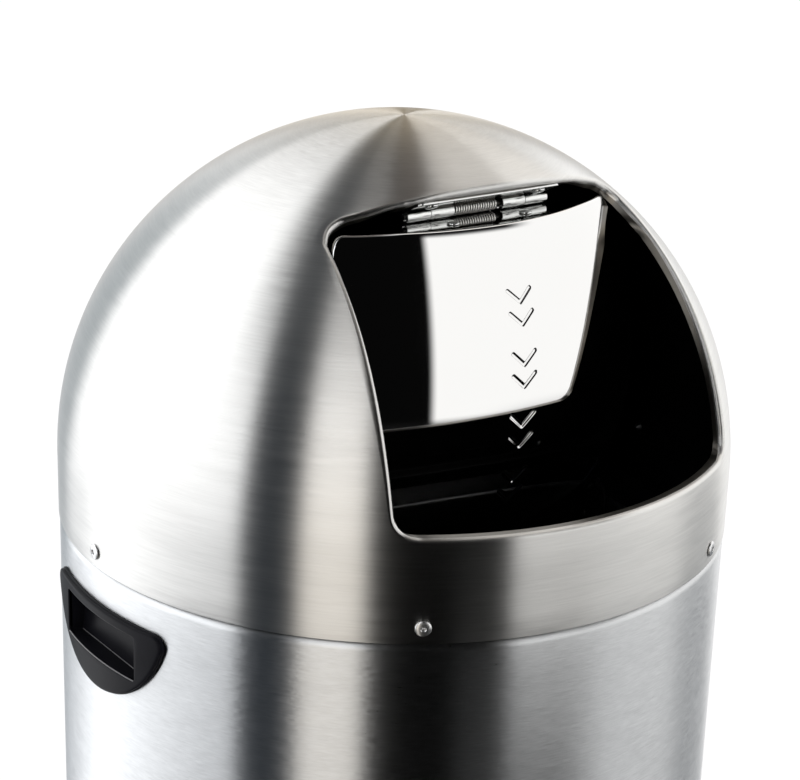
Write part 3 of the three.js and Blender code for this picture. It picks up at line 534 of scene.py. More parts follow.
def bodyWall(b):   # a turned wall with a window through each side
    middle = b["sheet"] / 2
    corner = b["shoulder"] - middle
    path = rounded([
        (b["radius"] - middle, b["bottom"], 0), (b["radius"] - middle, b["windowLow"], 0),
        (b["radius"] - middle, b["windowHigh"], 0), (b["radius"] - middle, b["top"] - middle, corner),
        (b["mouth"], b["top"] - middle, 0)], 10, closed=False)
    profile = sheetLoop(path, b["sheet"])
    edge = math.asin(b["windowHalf"] / b["radius"])
    even = [i * 2 * math.pi / b["columns"] for i in range(b["columns"])]
    marks = [edge, 2 * math.pi - edge, math.pi - edge, math.pi + edge]
    angles = sorted([a for a in even if min(abs(a - m) for m in marks) > 0.008] + marks)
    n, count = len(profile), len(angles)
    points = np.array([(r * math.cos(a), r * math.sin(a), z) for a in angles for r, z in profile])
    high = [(profile[j][1] + profile[(j + 1) % n][1]) / 2 for j in range(n)]
    wall = [abs(profile[j][0] - profile[(j + 1) % n][0]) < 0.01 for j in range(n)]
    faces = []

    def inWindow(i, j):
        a = (angles[i] + (angles[(i + 1) % count] + (2 * math.pi if i == count - 1 else 0))) / 2
        return wall[j] and b["windowLow"] < high[j] < b["windowHigh"] and abs(math.sin(a)) < math.sin(edge)

    for i in range(count):
        for j in range(n):
            k, m = (i + 1) % count, (j + 1) % n
            if not inWindow(i, j):
                faces.append((i * n + j, k * n + j, k * n + m, i * n + m))
    rows = [j for j in range(n) if abs(profile[j][1] - b["windowLow"]) < 0.01]
    tops = [j for j in range(n) if abs(profile[j][1] - b["windowHigh"]) < 0.01]
    for i in range(count):
        k = (i + 1) % count
        if inWindow(i, rows[0] if profile[(rows[0] + 1) % n][1] > b["windowLow"] else rows[0] - 1):
            for first, second in (rows, tops):
                faces.append((i * n + first, k * n + first, k * n + second, i * n + second))
    for m in marks:
        i = angles.index(m)
        faces.append((i * n + rows[0], i * n + tops[0], i * n + tops[1], i * n + rows[1]))
    return points, faces


piece("bodyWall", bodyWall(bodyShape), bodySteel, "body", "body_shell")

foot = {
    "outer": 201.7, "height": 16, "body": 199.7, "floor": 3, "leg": 197.9, "ledge": 14, "inner": 195.9,
    "foot": 0.5, "edge": 1, "groove": 0.2, "step": 0.3,
}


def footProfile(f):
    return rounded([
        (f["outer"], 0, f["foot"]), (f["outer"], f["height"], f["edge"]),
        (f["body"], f["height"], f["groove"]), (f["body"], f["floor"], f["groove"]),
        (f["leg"], f["floor"], f["groove"]), (f["leg"], f["ledge"], f["step"]),
        (f["inner"], f["ledge"], f["step"]), (f["inner"], 0, f["foot"])], 4)


piece("footRing", turned(footProfile(foot), 240), satinBlack, "body", "foot_ring")

basePressing = {
    "sheet": 1.2, "bottom": 14.3, "pressing": 3, "middle": 135.5, "slope": 140, "rim": 197.3, "top": 26.3,
    "round": 3, "rimRound": 1.6,
}


def basePath(b):   # middle line of the pressed sheet, from the axis to the rim
    low = b["bottom"] + b["sheet"] / 2
    high = low + b["pressing"]
    return rounded([
        (0.01, high, 0), (b["middle"], high, b["round"]), (b["slope"], low, b["round"]),
        (b["rim"], low, b["rimRound"]), (b["rim"], b["top"], 0)], 5, closed=False)


baseShape = turned(sheetLoop(basePath(basePressing), basePressing["sheet"]), 160)
piece("basePressing", baseShape, shadedGalvanised, "body", "base_plate")
print("body made")

grip = {
    "top": 498.5, "rise": 11, "radius": 63, "corner": 7, "back": 199.7, "face": 203.4,
    "half": 38, "recessTop": 492, "recessFloor": 465.5, "fall": 1, "undercut": 1.5, "middle": (0, 479),
    "depthBottom": 12.4, "depthTop": 16, "cover": 4.4, "wall": 1.5, "edge": 0.9, "round": 1.6, "count": 150,
    "pocketRound": 1.2, "backRound": 2, "lugPlay": 0.9, "lugSheet": 2, "lugRise": 2, "lugHalf": 10,
    "profile": (   # outer edge, from the face to the back: inset of the outline, depth behind the face
        (2.6, 0), (2.0, 0.03), (1.5, 0.14), (1.15, 0.35), (0.9, 0.7), (0.82, 1.2), (0.8, 1.9), (0.7, 2.05),
        (0.25, 2.1), (0.06, 2.25), (0, 2.5)),
}


def gripOutline(g, inset):
    centre = g["top"] + g["rise"]
    cornerZ = g["top"] - g["corner"]
    reach = math.sqrt((g["radius"] - g["corner"]) ** 2 - (centre - cornerZ) ** 2)
    dip = math.degrees(math.atan2(centre - cornerZ, reach))

    def arc(x, z, r, start, end, n):
        t = np.radians(np.linspace(start, end, n))
        return np.stack((x + r * np.cos(t), z + r * np.sin(t)), 1)

    return np.concatenate((
        arc(reach, cornerZ, g["corner"] - inset, -dip, 90, 60),
        np.stack((np.linspace(reach, -reach, 160)[1:-1], np.full(158, g["top"] - inset)), 1),
        arc(-reach, cornerZ, g["corner"] - inset, 90, 180 + dip, 60),
        arc(0, centre, g["radius"] - inset, 180 + dip, 360 - dip, 260)[1:-1]))


def roundedBox(half, low, high, radius, steps=12):
    corners = ((half, low), (half, high), (-half, high), (-half, low))
    return rounded([(x, z, radius) for x, z in corners], steps)


def densified(loop, gap=0.4):
    out = []
    for here, following in zip(loop, np.roll(loop, -1, 0)):
        n = max(1, int(np.linalg.norm(following - here) / gap))
        out += [here + (following - here) * k / n for k in range(n)]
    return np.array(out)


def byAngle(loop, centre, angles):   # points of a loop seen from its centre at given angles
    loop = densified(loop)
    turn = np.arctan2(loop[:, 1] - centre[1], loop[:, 0] - centre[0])
    order = np.argsort(turn)
    turn, loop = turn[order], loop[order]
    turn = np.concatenate((turn[-1:] - 2 * math.pi, turn, turn[:1] + 2 * math.pi))
    loop = np.concatenate((loop[-1:], loop, loop[:1]))
    return np.stack((np.interp(angles, turn, loop[:, 0]), np.interp(angles, turn, loop[:, 1])), 1)


def sharedAngles(loops, centre, count):   # angles that step evenly along all of several loops
    base = np.linspace(-math.pi, math.pi, 3001)
    total = np.zeros(3000)
    for loop in loops:
        p = byAngle(loop, centre, base)
        steps = np.linalg.norm(np.diff(p, axis=0), axis=1)
        total += steps / steps.sum()
    run = np.concatenate(((0,), np.cumsum(total))) / total.sum()
    return np.interp(np.arange(count) / count, run, base)


def sideGrip(g):
    centre = g["middle"]
    rim = roundedBox(g["half"], g["recessFloor"], g["recessTop"], g["round"])
    angles = sharedAngles([gripOutline(g, 0), rim, rim], centre, g["count"])

    def onBody(loop, radius):   # wraps a loop of arc length and height round the body
        a = loop[:, 0] / g["face"]
        return np.stack((-radius * np.cos(a), radius * np.sin(a), loop[:, 1]), 1)

    def edge(inset, radius):
        return onBody(byAngle(gripOutline(g, inset), centre, angles), radius)

    def flat(loop, radius):   # keeps a loop's Y as it is
        return np.stack((-np.sqrt(radius ** 2 - loop[:, 0] ** 2), loop[:, 0], loop[:, 1]), 1)

    def box(grow, top, radius):
        outline = roundedBox(g["half"] + grow, g["recessFloor"] - grow, top + grow, radius)
        return byAngle(outline, centre, angles)

    def rimLoop(grow):
        return box(grow, g["recessTop"], g["round"] + grow)

    face, back = g["face"], g["back"]
    pocketTop = g["recessTop"] + g["undercut"]
    floorBack = g["recessFloor"] - g["fall"]
    backBottom, backTop = face - g["depthBottom"], face - g["depthTop"]

    def deep(grow, share):   # pocket loops from behind the upper rim to the back wall
        loop = box(grow, pocketTop, g["pocketRound"])
        t = (loop[:, 1] - g["recessFloor"]) / (pocketTop - g["recessFloor"])
        front = face - g["cover"]
        wall = backBottom + (backTop - backBottom) * t - grow
        x = front + (wall - front) * share
        z = loop[:, 1] - g["fall"] * share * (1 - t)
        return np.stack((-x, loop[:, 0], z), 1)

    sunk = rimLoop(0)
    levels = [deep(0, 1), deep(0, 0.66), deep(0, 0.33), deep(0, 0)]
    levels += [np.stack((np.full(len(sunk), -(face - g["cover"])), sunk[:, 0], sunk[:, 1]), 1)]
    levels += [flat(sunk, face - 2.2), flat(sunk, face - g["edge"])]
    for k in range(1, 6):
        a = math.pi / 2 * k / 5
        levels.append(flat(rimLoop(g["edge"] * (1 - math.cos(a))), face - g["edge"] * (1 - math.sin(a))))
    outer = byAngle(gripOutline(g, 2.6), centre, angles)
    inner = np.stack((np.arcsin(levels[-1][:, 1] / face) * face, levels[-1][:, 2]), 1)
    for k in range(1, 6):
        levels.append(onBody(inner + (outer - inner) * k / 6, face))
    levels += [edge(inset, face - depth) for inset, depth in g["profile"]]
    levels += [edge(0, back + 0.3), edge(0.4, back)]
    hole = roundedBox(g["half"] + g["wall"], floorBack - g["wall"], pocketTop + g["wall"], g["backRound"])
    levels.append(flat(byAngle(hole, centre, angles), back))
    levels += [deep(g["wall"], 0.2), deep(g["wall"], 0.6), deep(g["wall"], 1)]
    return looped(levels, capEnds=True)


def gripLug(g):   # hooks behind the window's upper edge
    outer = -(bodyShape["radius"] - bodyShape["sheet"] - g["lugPlay"])
    inner = outer + g["lugSheet"]
    z = g["recessTop"] + g["undercut"] + g["wall"]
    top = z + g["lugRise"]
    outline = rounded([(outer, z - 1, 0), (inner, z - 1, 0), (inner, top, 0.8), (outer, top, 0.4)], 4)
    return looped([
        np.stack((outline[:, 0], np.full(len(outline), y), outline[:, 1]), 1)
        for y in (-g["lugHalf"], g["lugHalf"])], capEnds=True)


beads = {   # fine raised lines along the recess floor's front and back edges and the grip's top, in a lighter painted highlight finish
    "inset": 0.6, "frontSunk": 0.36, "frontDrop": 0.05, "backOut": 0.2, "topWidth": 1.3, "topSunk": 2.2,
    "topDrop": 0.75, "radii": (0.34, 0.26, 0.16), "count": 40,
}


def gripBeads(g, b):
    y = np.linspace(-g["half"] + b["inset"], g["half"] - b["inset"], b["count"])

    def line(x, y, z):
        return np.stack(np.broadcast_arrays(x, y, z), 1)

    def onFace(y, sunk, z):
        return line(-np.sqrt((g["face"] - sunk) ** 2 - y ** 2), y, z)

    inward = g["depthBottom"] - g["face"] - b["backOut"]
    lines = (
        onFace(y, b["frontSunk"], g["recessFloor"] - b["frontDrop"]),
        line(inward, y, g["recessFloor"] - g["fall"] + b["backOut"]),
        onFace(y * b["topWidth"], b["topSunk"], g["top"] - b["topDrop"]))
    return joined(*(tube(path, radius, 8) for path, radius in zip(lines, b["radii"])))


gripBody = joined(sideGrip(grip), gripLug(grip))
gripShape = joined(gripBody, gripBeads(grip, beads))
# the raised lines take the second finish, a painted highlight
gripFinish = [0] * len(gripBody[1]) + [1] * (len(gripShape[1]) - len(gripBody[1]))
for side, turn in (("left", 0), ("right", math.pi)):
    placed = moved(gripShape, Matrix.Rotation(turn, 4, "Z"))
    piece(f"sideGrip.{side}", placed, [satinBlack, highlightEdge], "body", f"handle_grip_{side}",
          32, finishOf=gripFinish)
print("grips made")

cornerWay, cornerReach = math.radians(58), 190.5   # the opening's top corners, from the sphere's centre
hingeWay, hingeReach = math.radians(66.8), 175.16   # the hinge's axis, likewise
opening = {
    "bottom": 21.6, "half": 114, "crown": 181, "topCorner": 10, "bottomCorner": 12,
    "cornerX": cornerReach * math.cos(cornerWay), "cornerZ": cornerReach * math.sin(cornerWay),
    "slope": 25.9, "plane": 3.8, "lip": 7,
}
hinge = {"y": -(hingeReach * math.cos(hingeWay)), "z": domeCentre + hingeReach * math.sin(hingeWay)}
dome = {
    "rise": 199.3, "sheet": 1.2, "bottom": 518.5, "edge": 0.5, "rays": 700, "rings": 84, "innerRings": 30,
    "corner": 15,    # rounding of the opening's upper corners
    "cornerLow": 688,   # height from which their lip goes straight in
    "aim": 32,       # direction of the opening's middle, above level
    "fold": 2.2, "tongueHalf": 56, "tongueBack": 2.1,
    "levels": (545, 532),   # loops of the skirt
}
# How far a lip near the upper corners leans to straight in, the height over which it comes to do
# so, and the half widths between which it does.
cornerLip = {"share": 0.8, "rise": 24, "from": 58, "to": 86}


def bezier(start, pull, end, t):
    t = t[:, None]
    return (1 - t) ** 2 * np.array(start) + 2 * t * (1 - t) * np.array(pull) + t ** 2 * np.array(end)


def halfOutline(margin, steps=40):   # right half of the opening in the front view, from the bottom up
    o = opening
    low, high = domeCentre + o["bottom"] + margin, domeCentre + o["cornerZ"] - margin
    wide, narrow = o["half"] - margin, o["cornerX"] - margin
    crown = domeCentre + o["crown"] - margin
    middle = (low + high) / 2
    lean = (wide - narrow) / (high - middle)
    top = 2 * (crown - high) / narrow
    bc, tc = max(o["bottomCorner"] - margin, 1), max(o["topCorner"] - margin, 1)

    def curve(start, pull, end):
        return bezier(start, pull, end, np.linspace(0, 1, steps))

    arch = curve((narrow - tc, high + top * tc), (0, 2 * crown - high), (-narrow + tc, high + top * tc))
    arch = arch[arch[:, 0] >= 0]
    return np.concatenate((
        curve((wide - bc, low), (wide, low), (wide, low + bc)),
        curve((wide, low + bc), (wide, middle), (narrow + lean * tc, high - tc))[1:],
        curve((narrow + lean * tc, high - tc), (narrow, high), (narrow - tc, high + top * tc))[1:],
        arch[1:], [(0, crown)]))


outlineRight = halfOutline(0)


def surfaceNormal(p):   # of the dome, which is a slightly flattened sphere
    n = (p - (0, 0, domeCentre)) / np.array((domeRadius, domeRadius, dome["rise"])) ** 2
    return n / np.linalg.norm(n, axis=-1, keepdims=True)


def onDome(direction):
    return direction * (domeRadius, domeRadius, dome["rise"]) + (0, 0, domeCentre)


def inOpening(p):
    slope = math.radians(opening["slope"])
    x, y, z = p[:, 0], p[:, 1], p[:, 2]
    half = np.interp(z, outlineRight[:, 1], outlineRight[:, 0], right=0)
    above = (y - hinge["y"]) * math.sin(slope) + (z - hinge["z"]) * math.cos(slope)
    return (y < 0) & (z > outlineRight[0, 1]) & (np.abs(x) < half) & (above < opening["plane"])


aim = math.radians(dome["aim"])
aimWay = np.array((0, -math.cos(aim), math.sin(aim)))   # towards the opening's middle
aimUp = np.array((0, math.sin(aim), math.cos(aim)))


def rayDirection(turn, reach):   # turn goes round the opening's middle, reach away from it
    out = np.outer(np.cos(turn), (1, 0, 0)) + np.outer(np.sin(turn), aimUp)
    return np.cos(reach)[:, None] * aimWay + np.sin(reach)[:, None] * out


def footDirection(turn):   # where such a ray's great circle comes level
    return rayDirection(turn, np.arctan2(math.sin(aim), -np.sin(turn) * math.cos(aim)))


def unit(v):
    return v / np.linalg.norm(v, axis=-1, keepdims=True)


def smooth(x, low, high):
    t = np.clip((x - low) / (high - low), 0, 1)
    return t * t * (3 - 2 * t)


def edgeReach(turn):   # angle from the opening's middle to its outline, by halving
    low, high = np.zeros_like(turn), np.full_like(turn, 1.3)
    for _ in range(40):
        middle = (low + high) / 2
        inside = inOpening(onDome(rayDirection(turn, middle)))
        low, high = np.where(inside, middle, low), np.where(inside, high, middle)
    return (low + high) / 2


def straightened(lipWay, edge, normal, height):   # near the upper corners a lip goes straight in
    c = cornerLip
    share = c["share"] * smooth(edge[:, 2], height, height + c["rise"])
    share = (share * smooth(np.abs(edge[:, 0]), c["from"], c["to"]))[:, None]
    return unit((1 - share) * lipWay - share * normal)


def openingEdge():   # the outline as angles, with its two upper corners rounded
    turn = np.linspace(-math.pi / 2, 1.5 * math.pi, 8001)
    reach = edgeReach(turn)
    ways = rayDirection(turn, reach)
    run = np.concatenate(((0,), np.cumsum(np.linalg.norm(np.diff(onDome(ways), axis=0), axis=1))))
    heading = unit(np.roll(ways, -6, 0) - ways)
    turning = 1 - (heading * np.roll(heading, 6, 0)).sum(1)
    weight = np.ones_like(turn)
    for low, high in ((0.25, 1.25), (math.pi - 1.25, math.pi - 0.25)):
        near = np.flatnonzero((turn > low) & (turn < high))
        bend = near[np.argmax(turning[near])]
        first, last = (int(np.argmin(np.abs(run - run[bend] - d))) for d in (-dome["corner"], dome["corner"]))
        arc = unit(bezier(ways[first], ways[bend], ways[last], np.linspace(0, 1, 60)))
        arcTurn = np.arctan2(arc @ aimUp, arc[:, 0])
        arcTurn = np.where(arcTurn < -math.pi / 2, arcTurn + 2 * math.pi, arcTurn)
        span = slice(first, last + 1)
        reach[span] = np.interp(turn[span], arcTurn, np.arccos(arc @ aimWay))
        weight[span] = 3
    return turn, reach, weight


def domeRays():   # turns and reaches of the sheet's rays, spread along the edge and the foot
    turn, reach, weight = openingEdge()
    edge = onDome(rayDirection(turn, reach))
    edgeSteps = np.linalg.norm(np.diff(edge, axis=0), axis=1) * weight[1:]
    footSteps = np.linalg.norm(np.diff(footDirection(turn), axis=0), axis=1)
    steps = 0.6 * edgeSteps / edgeSteps.sum() + 0.4 * footSteps / footSteps.sum()
    run = np.concatenate(((0,), np.cumsum(steps)))
    chosen = np.interp(np.arange(dome["rays"]) / dome["rays"], run / run[-1], turn)
    top = (turn > 0.2) & (turn < math.pi - 0.2)
    order = np.argsort(edge[top][:, 0])
    for x in (-1, 1):
        for nudge in (-0.6, 0.6):   # the tongue's two edges
            goal = x * (dome["tongueHalf"] + nudge)
            chosen = np.append(chosen, np.interp(goal, edge[top][order, 0], turn[top][order]))
    chosen = np.sort(chosen)
    return chosen, np.interp(chosen, turn, reach)


def bent(start, toward, lipWay, radius, sheet, steps=7):   # a sheet's edge, folded over
    cosine = np.clip((toward * lipWay).sum(1), -1, 1)
    angle = np.arccos(cosine)
    out = unit(-(lipWay - cosine[:, None] * toward))
    centre = start - out * radius
    outer, inner = [], []
    for k in range(steps + 1):
        a = (angle * k / steps)[:, None]
        way = out * np.cos(a) + toward * np.sin(a)
        outer.append(centre + way * radius)
        inner.append(centre + way * (radius - sheet))
    return outer, inner


def foldStart(edge, toward, lipWay, radius):   # where the fold begins, short of the edge
    angle = np.arccos(np.clip((toward * lipWay).sum(1), -1, 1))
    return edge - toward * (radius * np.tan(angle / 2))[:, None]


def lipLength(end, centre, lipWay, radius):   # from the fold's end to a sphere inside the sheet
    away = end - centre
    half = (away * lipWay).sum(1)
    room = half ** 2 - (away ** 2).sum(1) + radius ** 2
    return np.maximum(-half - np.sqrt(np.maximum(room, 0)), 1)


def turnedWay(toward, slope, sign):   # the turned edge's way: level at the sides, sloping at the top
    topWay = np.array((0, math.cos(slope), -math.sin(slope)))
    share = smooth(sign * toward[:, 2] / np.hypot(toward[:, 0], toward[:, 2]), 0.45, 0.85)
    return unit(share[:, None] * topWay + (1 - share[:, None]) * np.array((0, 1.0, 0))), share


def acrossEdge(edge, normal, middle, sign):   # in the sheet, square to its edge
    along = unit(np.roll(edge, -1, 0) - np.roll(edge, 1, 0))
    toward = unit(np.cross(along, normal))
    return toward * (sign * np.sign(((middle - edge) * toward).sum(1)))[:, None]


def aheadOfHinge(points, slope):   # distance in front of the hinge's axis, along a slope
    return (points - (0, hinge["y"], hinge["z"])) @ -np.array((0, math.cos(slope), -math.sin(slope)))


def domeSheet(d):   # loops from the lip's end over the fold and down the outside, then back up inside
    centre = np.array((0, 0, domeCentre))
    turn, reach = domeRays()
    edge = onDome(rayDirection(turn, reach))
    normal = surfaceNormal(edge)
    toward = acrossEdge(edge, normal, onDome(rayDirection(np.zeros(1), np.zeros(1))), 1)
    slope = math.radians(opening["slope"])
    lipWay, share = turnedWay(toward, slope, -1)
    lipWay = straightened(lipWay, edge, normal, d["cornerLow"])
    start = foldStart(edge, toward, lipWay, d["fold"])
    startWay = unit((start - centre) / (domeRadius, domeRadius, d["rise"]))
    outerFold, innerFold = bent(onDome(startWay), toward, lipWay, d["fold"], d["sheet"])
    end = outerFold[-1]
    length = lipLength(end, centre, lipWay, domeRadius - opening["lip"])
    tongue = (np.abs(edge[:, 0]) < d["tongueHalf"]) & (share > 0.99)
    length = np.where(tongue, aheadOfHinge(end, slope) + d["tongueBack"], length)
    near = [np.minimum(length * t, most) for t, most in ((0.25, 1.2), (0.5, 2.5))]
    lengths = near + [(near[1] + length) / 2, length]
    lip = [end + lipWay * t[:, None] for t in lengths[::-1]]
    lipInner = [innerFold[-1] + lipWay * t[:, None] for t in lengths]
    foot = footDirection(turn)
    between = np.arccos(np.clip((startWay * foot).sum(1), -1, 1))

    def rings(count, radius, rise):
        out = []
        for t in np.arange(count + 1) / count:
            upper = (np.sin((1 - t) * between) / np.sin(between))[:, None]
            lower = (np.sin(t * between) / np.sin(between))[:, None]
            out.append((upper * startWay + lower * foot) * (radius, radius, rise) + centre)
        return out

    inside = domeRadius - d["sheet"]
    outer = rings(d["rings"], domeRadius, d["rise"])[1:]
    inner = rings(d["innerRings"], inside, d["rise"] - d["sheet"])[1:-1][::-1]

    def skirt(radius, z):
        return foot * (radius, radius, 0) + (0, 0, z)

    e = d["edge"]
    low = d["bottom"]
    lower = [skirt(domeRadius, z) for z in (*d["levels"], low + e)]
    turns = (0.5, 1.1, math.pi / 2)
    lower += [skirt(domeRadius - e * (1 - math.cos(a)), low + e * (1 - math.sin(a))) for a in turns]
    lower += [skirt(inside, low), skirt(inside, d["levels"][-1]), skirt(inside, domeCentre)]
    levels = lip + outerFold[::-1] + outer + lower + inner + innerFold + lipInner
    outside = len(lip) + len(outerFold) + len(outer) + 6
    points, faces = looped(levels + [levels[0]])
    strips = [i // len(turn) for i in range(len(faces))]
    finishOf = [2 if strip < len(lip) - 1 else 0 if strip < outside else 1 for strip in strips]
    return (points, faces), finishOf


domeMesh, domeFinish = domeSheet(dome)
# the inside's and the turned edge's finishes carry painted shade, and the inside's crown painted light
piece("domeSheet", domeMesh, [domeSteel, shadedInsideSteel, shadedLipSteel], "dome", "dome_shell",
      50, finishOf=domeFinish)

ring = {"outer": 197.9, "top": 535.5, "web": 519.1, "plug": 184.8, "low": 500.5, "sheet": 1.2, "round": 1.8}


def ringPath(r):
    return rounded([
        (r["outer"], r["top"], 0), (r["outer"], r["web"], r["round"]),
        (r["plug"], r["web"], r["round"]), (r["plug"], r["low"], 0)], 5, closed=False)


ringShape = turned(sheetLoop(ringPath(ring), ring["sheet"]), 200)
piece("locatingRing", ringShape, shadedRing, "dome", "dome_locating_ring")
print("dome made")

blind = {
    "head": 4.4, "height": 1.4, "rim": 0.35, "bore": 1.35,
    "shank": 2, "grip": 3.73, "tail": 2.9, "tailLength": 3.4,
    "count": 6, "first": -31, "out": 200.3, "z": 527.8,
}


def blindRivet(r):
    top, low = r["height"], -r["grip"]
    end = low - r["tailLength"]
    turns = np.linspace(0.0, 1.2, 9)
    dish = [(r["head"] * math.cos(a), r["rim"] + (top - r["rim"]) * math.sin(a)) for a in turns]
    lip = [(r["bore"] + 0.25, top), (r["bore"], top - 0.25)]
    hole = [
        (r["bore"], top - 1.0), (0.9, top - 1.05), (0.75, top - 0.75), (0.3, top - 0.55), (0.001, top - 0.52)]
    back = [
        (0.001, end), (r["bore"], end), (r["tail"], low - 0.6), (r["tail"], low),
        (r["shank"], low), (r["shank"], 0), (r["head"] - 0.1, 0), (r["head"], 0.1)]
    return turned(dish + lip + hole + back, 36)


def solidRivet(clamped):   # a low domed head, and a tail below what it clamps
    head = [(3.6, 0.12), (3.58, 0.45), (3.35, 0.8), (2.8, 1.08), (1.9, 1.24), (0.9, 1.3), (0.001, 1.3)]
    tail = [
        (0.001, -clamped - 1.2), (2.1, -clamped - 1.2), (2.6, -clamped), (1.6, -clamped), (1.6, 0), (3.5, 0)]
    return turned(head + tail, 30)


def outward(angle, radius, z):   # a place on the wall whose Z points away from the axis
    a = math.radians(angle)
    out = Vector((math.sin(a), -math.cos(a), 0))
    m = Matrix((Vector((math.cos(a), math.sin(a), 0)), Vector((0, 0, 1)), out)).transposed().to_4x4()
    m.translation = out * radius + Vector((0, 0, z))
    return m


for i in range(blind["count"]):
    angle = blind["first"] + i * 360 / blind["count"]
    placed = moved(blindRivet(blind), outward(angle, blind["out"], blind["z"]))
    piece(f"domeRivet.{i + 1}", placed, rivetAluminium, "dome", f"dome_rivet_{i + 1}", 40)

flange = Matrix.Translation((0, hinge["y"], hinge["z"]))   # the flap's flange lies level at rest
hood = flange @ Matrix.Rotation(math.radians(-opening["slope"]), 4, "X")
knuckle = {
    "radius": 3.5, "length": 15.6, "sheet": 1.2, "inner": 16.9, "outer": 32.8, "reach": 17, "round": 3,
    "bevel": 0.15,
}
fixedPlate = {"start": 4.5, "levels": (2.3, 3.5)}   # rear edge ahead of the axis, and underside and top
movingPlate = {"start": 1, "levels": (-6.5, -5.3)}


def arcPath(radius, start, end, steps):
    turns = np.radians(np.linspace(start, end, steps))
    return [(radius * math.cos(a), radius * math.sin(a)) for a in turns]


def hingeLeaf(k, half, plate, rolls, rollPath):   # a flat plate and two rolled knuckles
    corners = [
        (plate["start"], -half, 0), (plate["start"], half, 0),
        (k["reach"], half, k["round"]), (k["reach"], -half, k["round"])]
    outline = rounded(corners, 6)
    loops = [np.stack((outline[:, 1], -outline[:, 0], np.full(len(outline), z)), 1) for z in plate["levels"]]
    shapes = [looped(loops, capEnds=True)]
    for low in rolls:
        shapes.append(extruded(sheetLoop(rollPath, k["sheet"]), low, low + k["length"]))
    return joined(*shapes)


def leafShapes(k):   # the dome's leaf and the flap's
    middle = k["radius"] - k["sheet"] / 2
    fixedPath = [(6, middle), (3, middle)] + arcPath(middle, 90, 372, 30)
    plateMiddle = sum(movingPlate["levels"]) / 2
    bend = [(4, plateMiddle, 0), (-middle, plateMiddle, 1.4), (-middle, 0, 0)]
    movingPath = rounded(bend, 5, closed=False).tolist() + arcPath(middle, 176, -98, 30)
    fixedHalf, movingHalf = k["outer"] + k["length"], k["inner"] + k["length"]
    return (
        hingeLeaf(k, fixedHalf, fixedPlate, (-fixedHalf, k["outer"]), fixedPath),
        hingeLeaf(k, movingHalf, movingPlate, (-movingHalf, k["inner"]), movingPath))


fixedLeaf, movingLeaf = leafShapes(knuckle)
for name, leaf, body, node in (
        ("hingeLeafDome", moved(fixedLeaf, hood), "dome", "hinge_fixed_leaf"),
        ("hingeLeafFlap", moved(movingLeaf, flange), "flap", "hinge_moving_leaf")):
    piece(name, leaf, zincSteel, body, node, bevel=knuckle["bevel"])

pin = {"radius": 1.5, "half": 49.6, "edge": 0.5, "round": 0.15}


def pinProfile(p):
    lower = [
        (0.001, -p["half"]), (p["radius"] - p["edge"], -p["half"]),
        (p["radius"] - p["round"], -p["half"] + p["round"]), (p["radius"], -p["half"] + p["edge"])]
    return lower + [(r, -z) for r, z in lower[::-1]]


pinShape = moved(turned(pinProfile(pin), 28), flange @ Matrix.Rotation(math.pi / 2, 4, "Y"))
piece("hingePin", pinShape, shadedPinSteel, "dome", "hinge_pin")

spring = {
    "coils": 17, "pitch": 1.68, "radius": 2.95, "wire": 0.5, "start": -16, "leg": 7.5, "steps": 22,
    "held": 1,   # at each end, how far the wire stays with its leaf
    "line": (-0.069, 0.716),   # Y and Z of its axis, in metres
}


def springPath(s):
    first = 180 + opening["slope"]
    sweep = 360 * s["coils"] - opening["slope"]
    count = s["coils"] * s["steps"]
    a = np.radians(first + sweep * np.arange(count + 1) / count)
    x = s["start"] + s["pitch"] * s["coils"] * np.arange(count + 1) / count
    coil = np.stack((x, -s["radius"] * np.cos(a), s["radius"] * np.sin(a)), 1)
    slope = math.radians(opening["slope"])
    legs = (np.array((0, math.sin(slope), math.cos(slope))), np.array((0, 0, -1.0)))
    before = [coil[0] + legs[0] * s["leg"] * t for t in (1, 0.8, 0.6, 0.4, 0.2)]
    after = [coil[-1] + legs[1] * s["leg"] * t for t in (0.2, 0.4, 0.6, 0.8, 1)]
    return np.concatenate((before, coil, after))


springShape = moved(tube(springPath(spring), spring["wire"], 10), flange)
springItem = piece("hingeSpring", springShape, springSteel, None, "hinge_spring", 60)
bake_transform(springItem)   # its place is baked into its mesh; it rides on no body

leafRivets = {"fixed": (37, -11, 2.0), "moving": (25, -13, -3.5), "clamped": 3.3}   # from the axis
for i, side in enumerate((-1, 1)):
    rivet = solidRivet(leafRivets["clamped"])
    x, y, z = leafRivets["fixed"]
    placed = moved(rivet, hood @ Matrix.Translation((side * x, y, z)) @ Matrix.Rotation(math.pi, 4, "X"))
    piece(f"leafRivet.{i + 1}", placed, zincSteel, "dome", f"hinge_leaf_rivet_{i + 1}", 40)
    x, y, z = leafRivets["moving"]
    placed = moved(rivet, flange @ Matrix.Translation((side * x, y, z)))
    piece(f"flapRivet.{i + 1}", placed, zincSteel, "flap", f"flap_rivet_{i + 1}", 40)
print("hinge made")

flap = {
    "radius": 196, "sheet": 1.2, "margin": 3.5, "lip": 6, "slope": 33, "plane": -3.8, "rear": 2.0,
    "open": 33, "fold": 2.2,
    "corner": 9,        # rounding of the upper corners
    "cornerLow": 676,   # height from which their lip goes straight in
    "markStep": 0.42, "markLow": 12, "markHigh": 53, "markHalf": 10,   # finer mesh under the marks
}
marks = {
    "elevations": (48.1, 37.9, 27.6, 17.3),
    "half": 7.6, "drop": 7, "pair": 12.5, "stroke": 1.35, "flat": 0.6, "depth": 0.75,
}


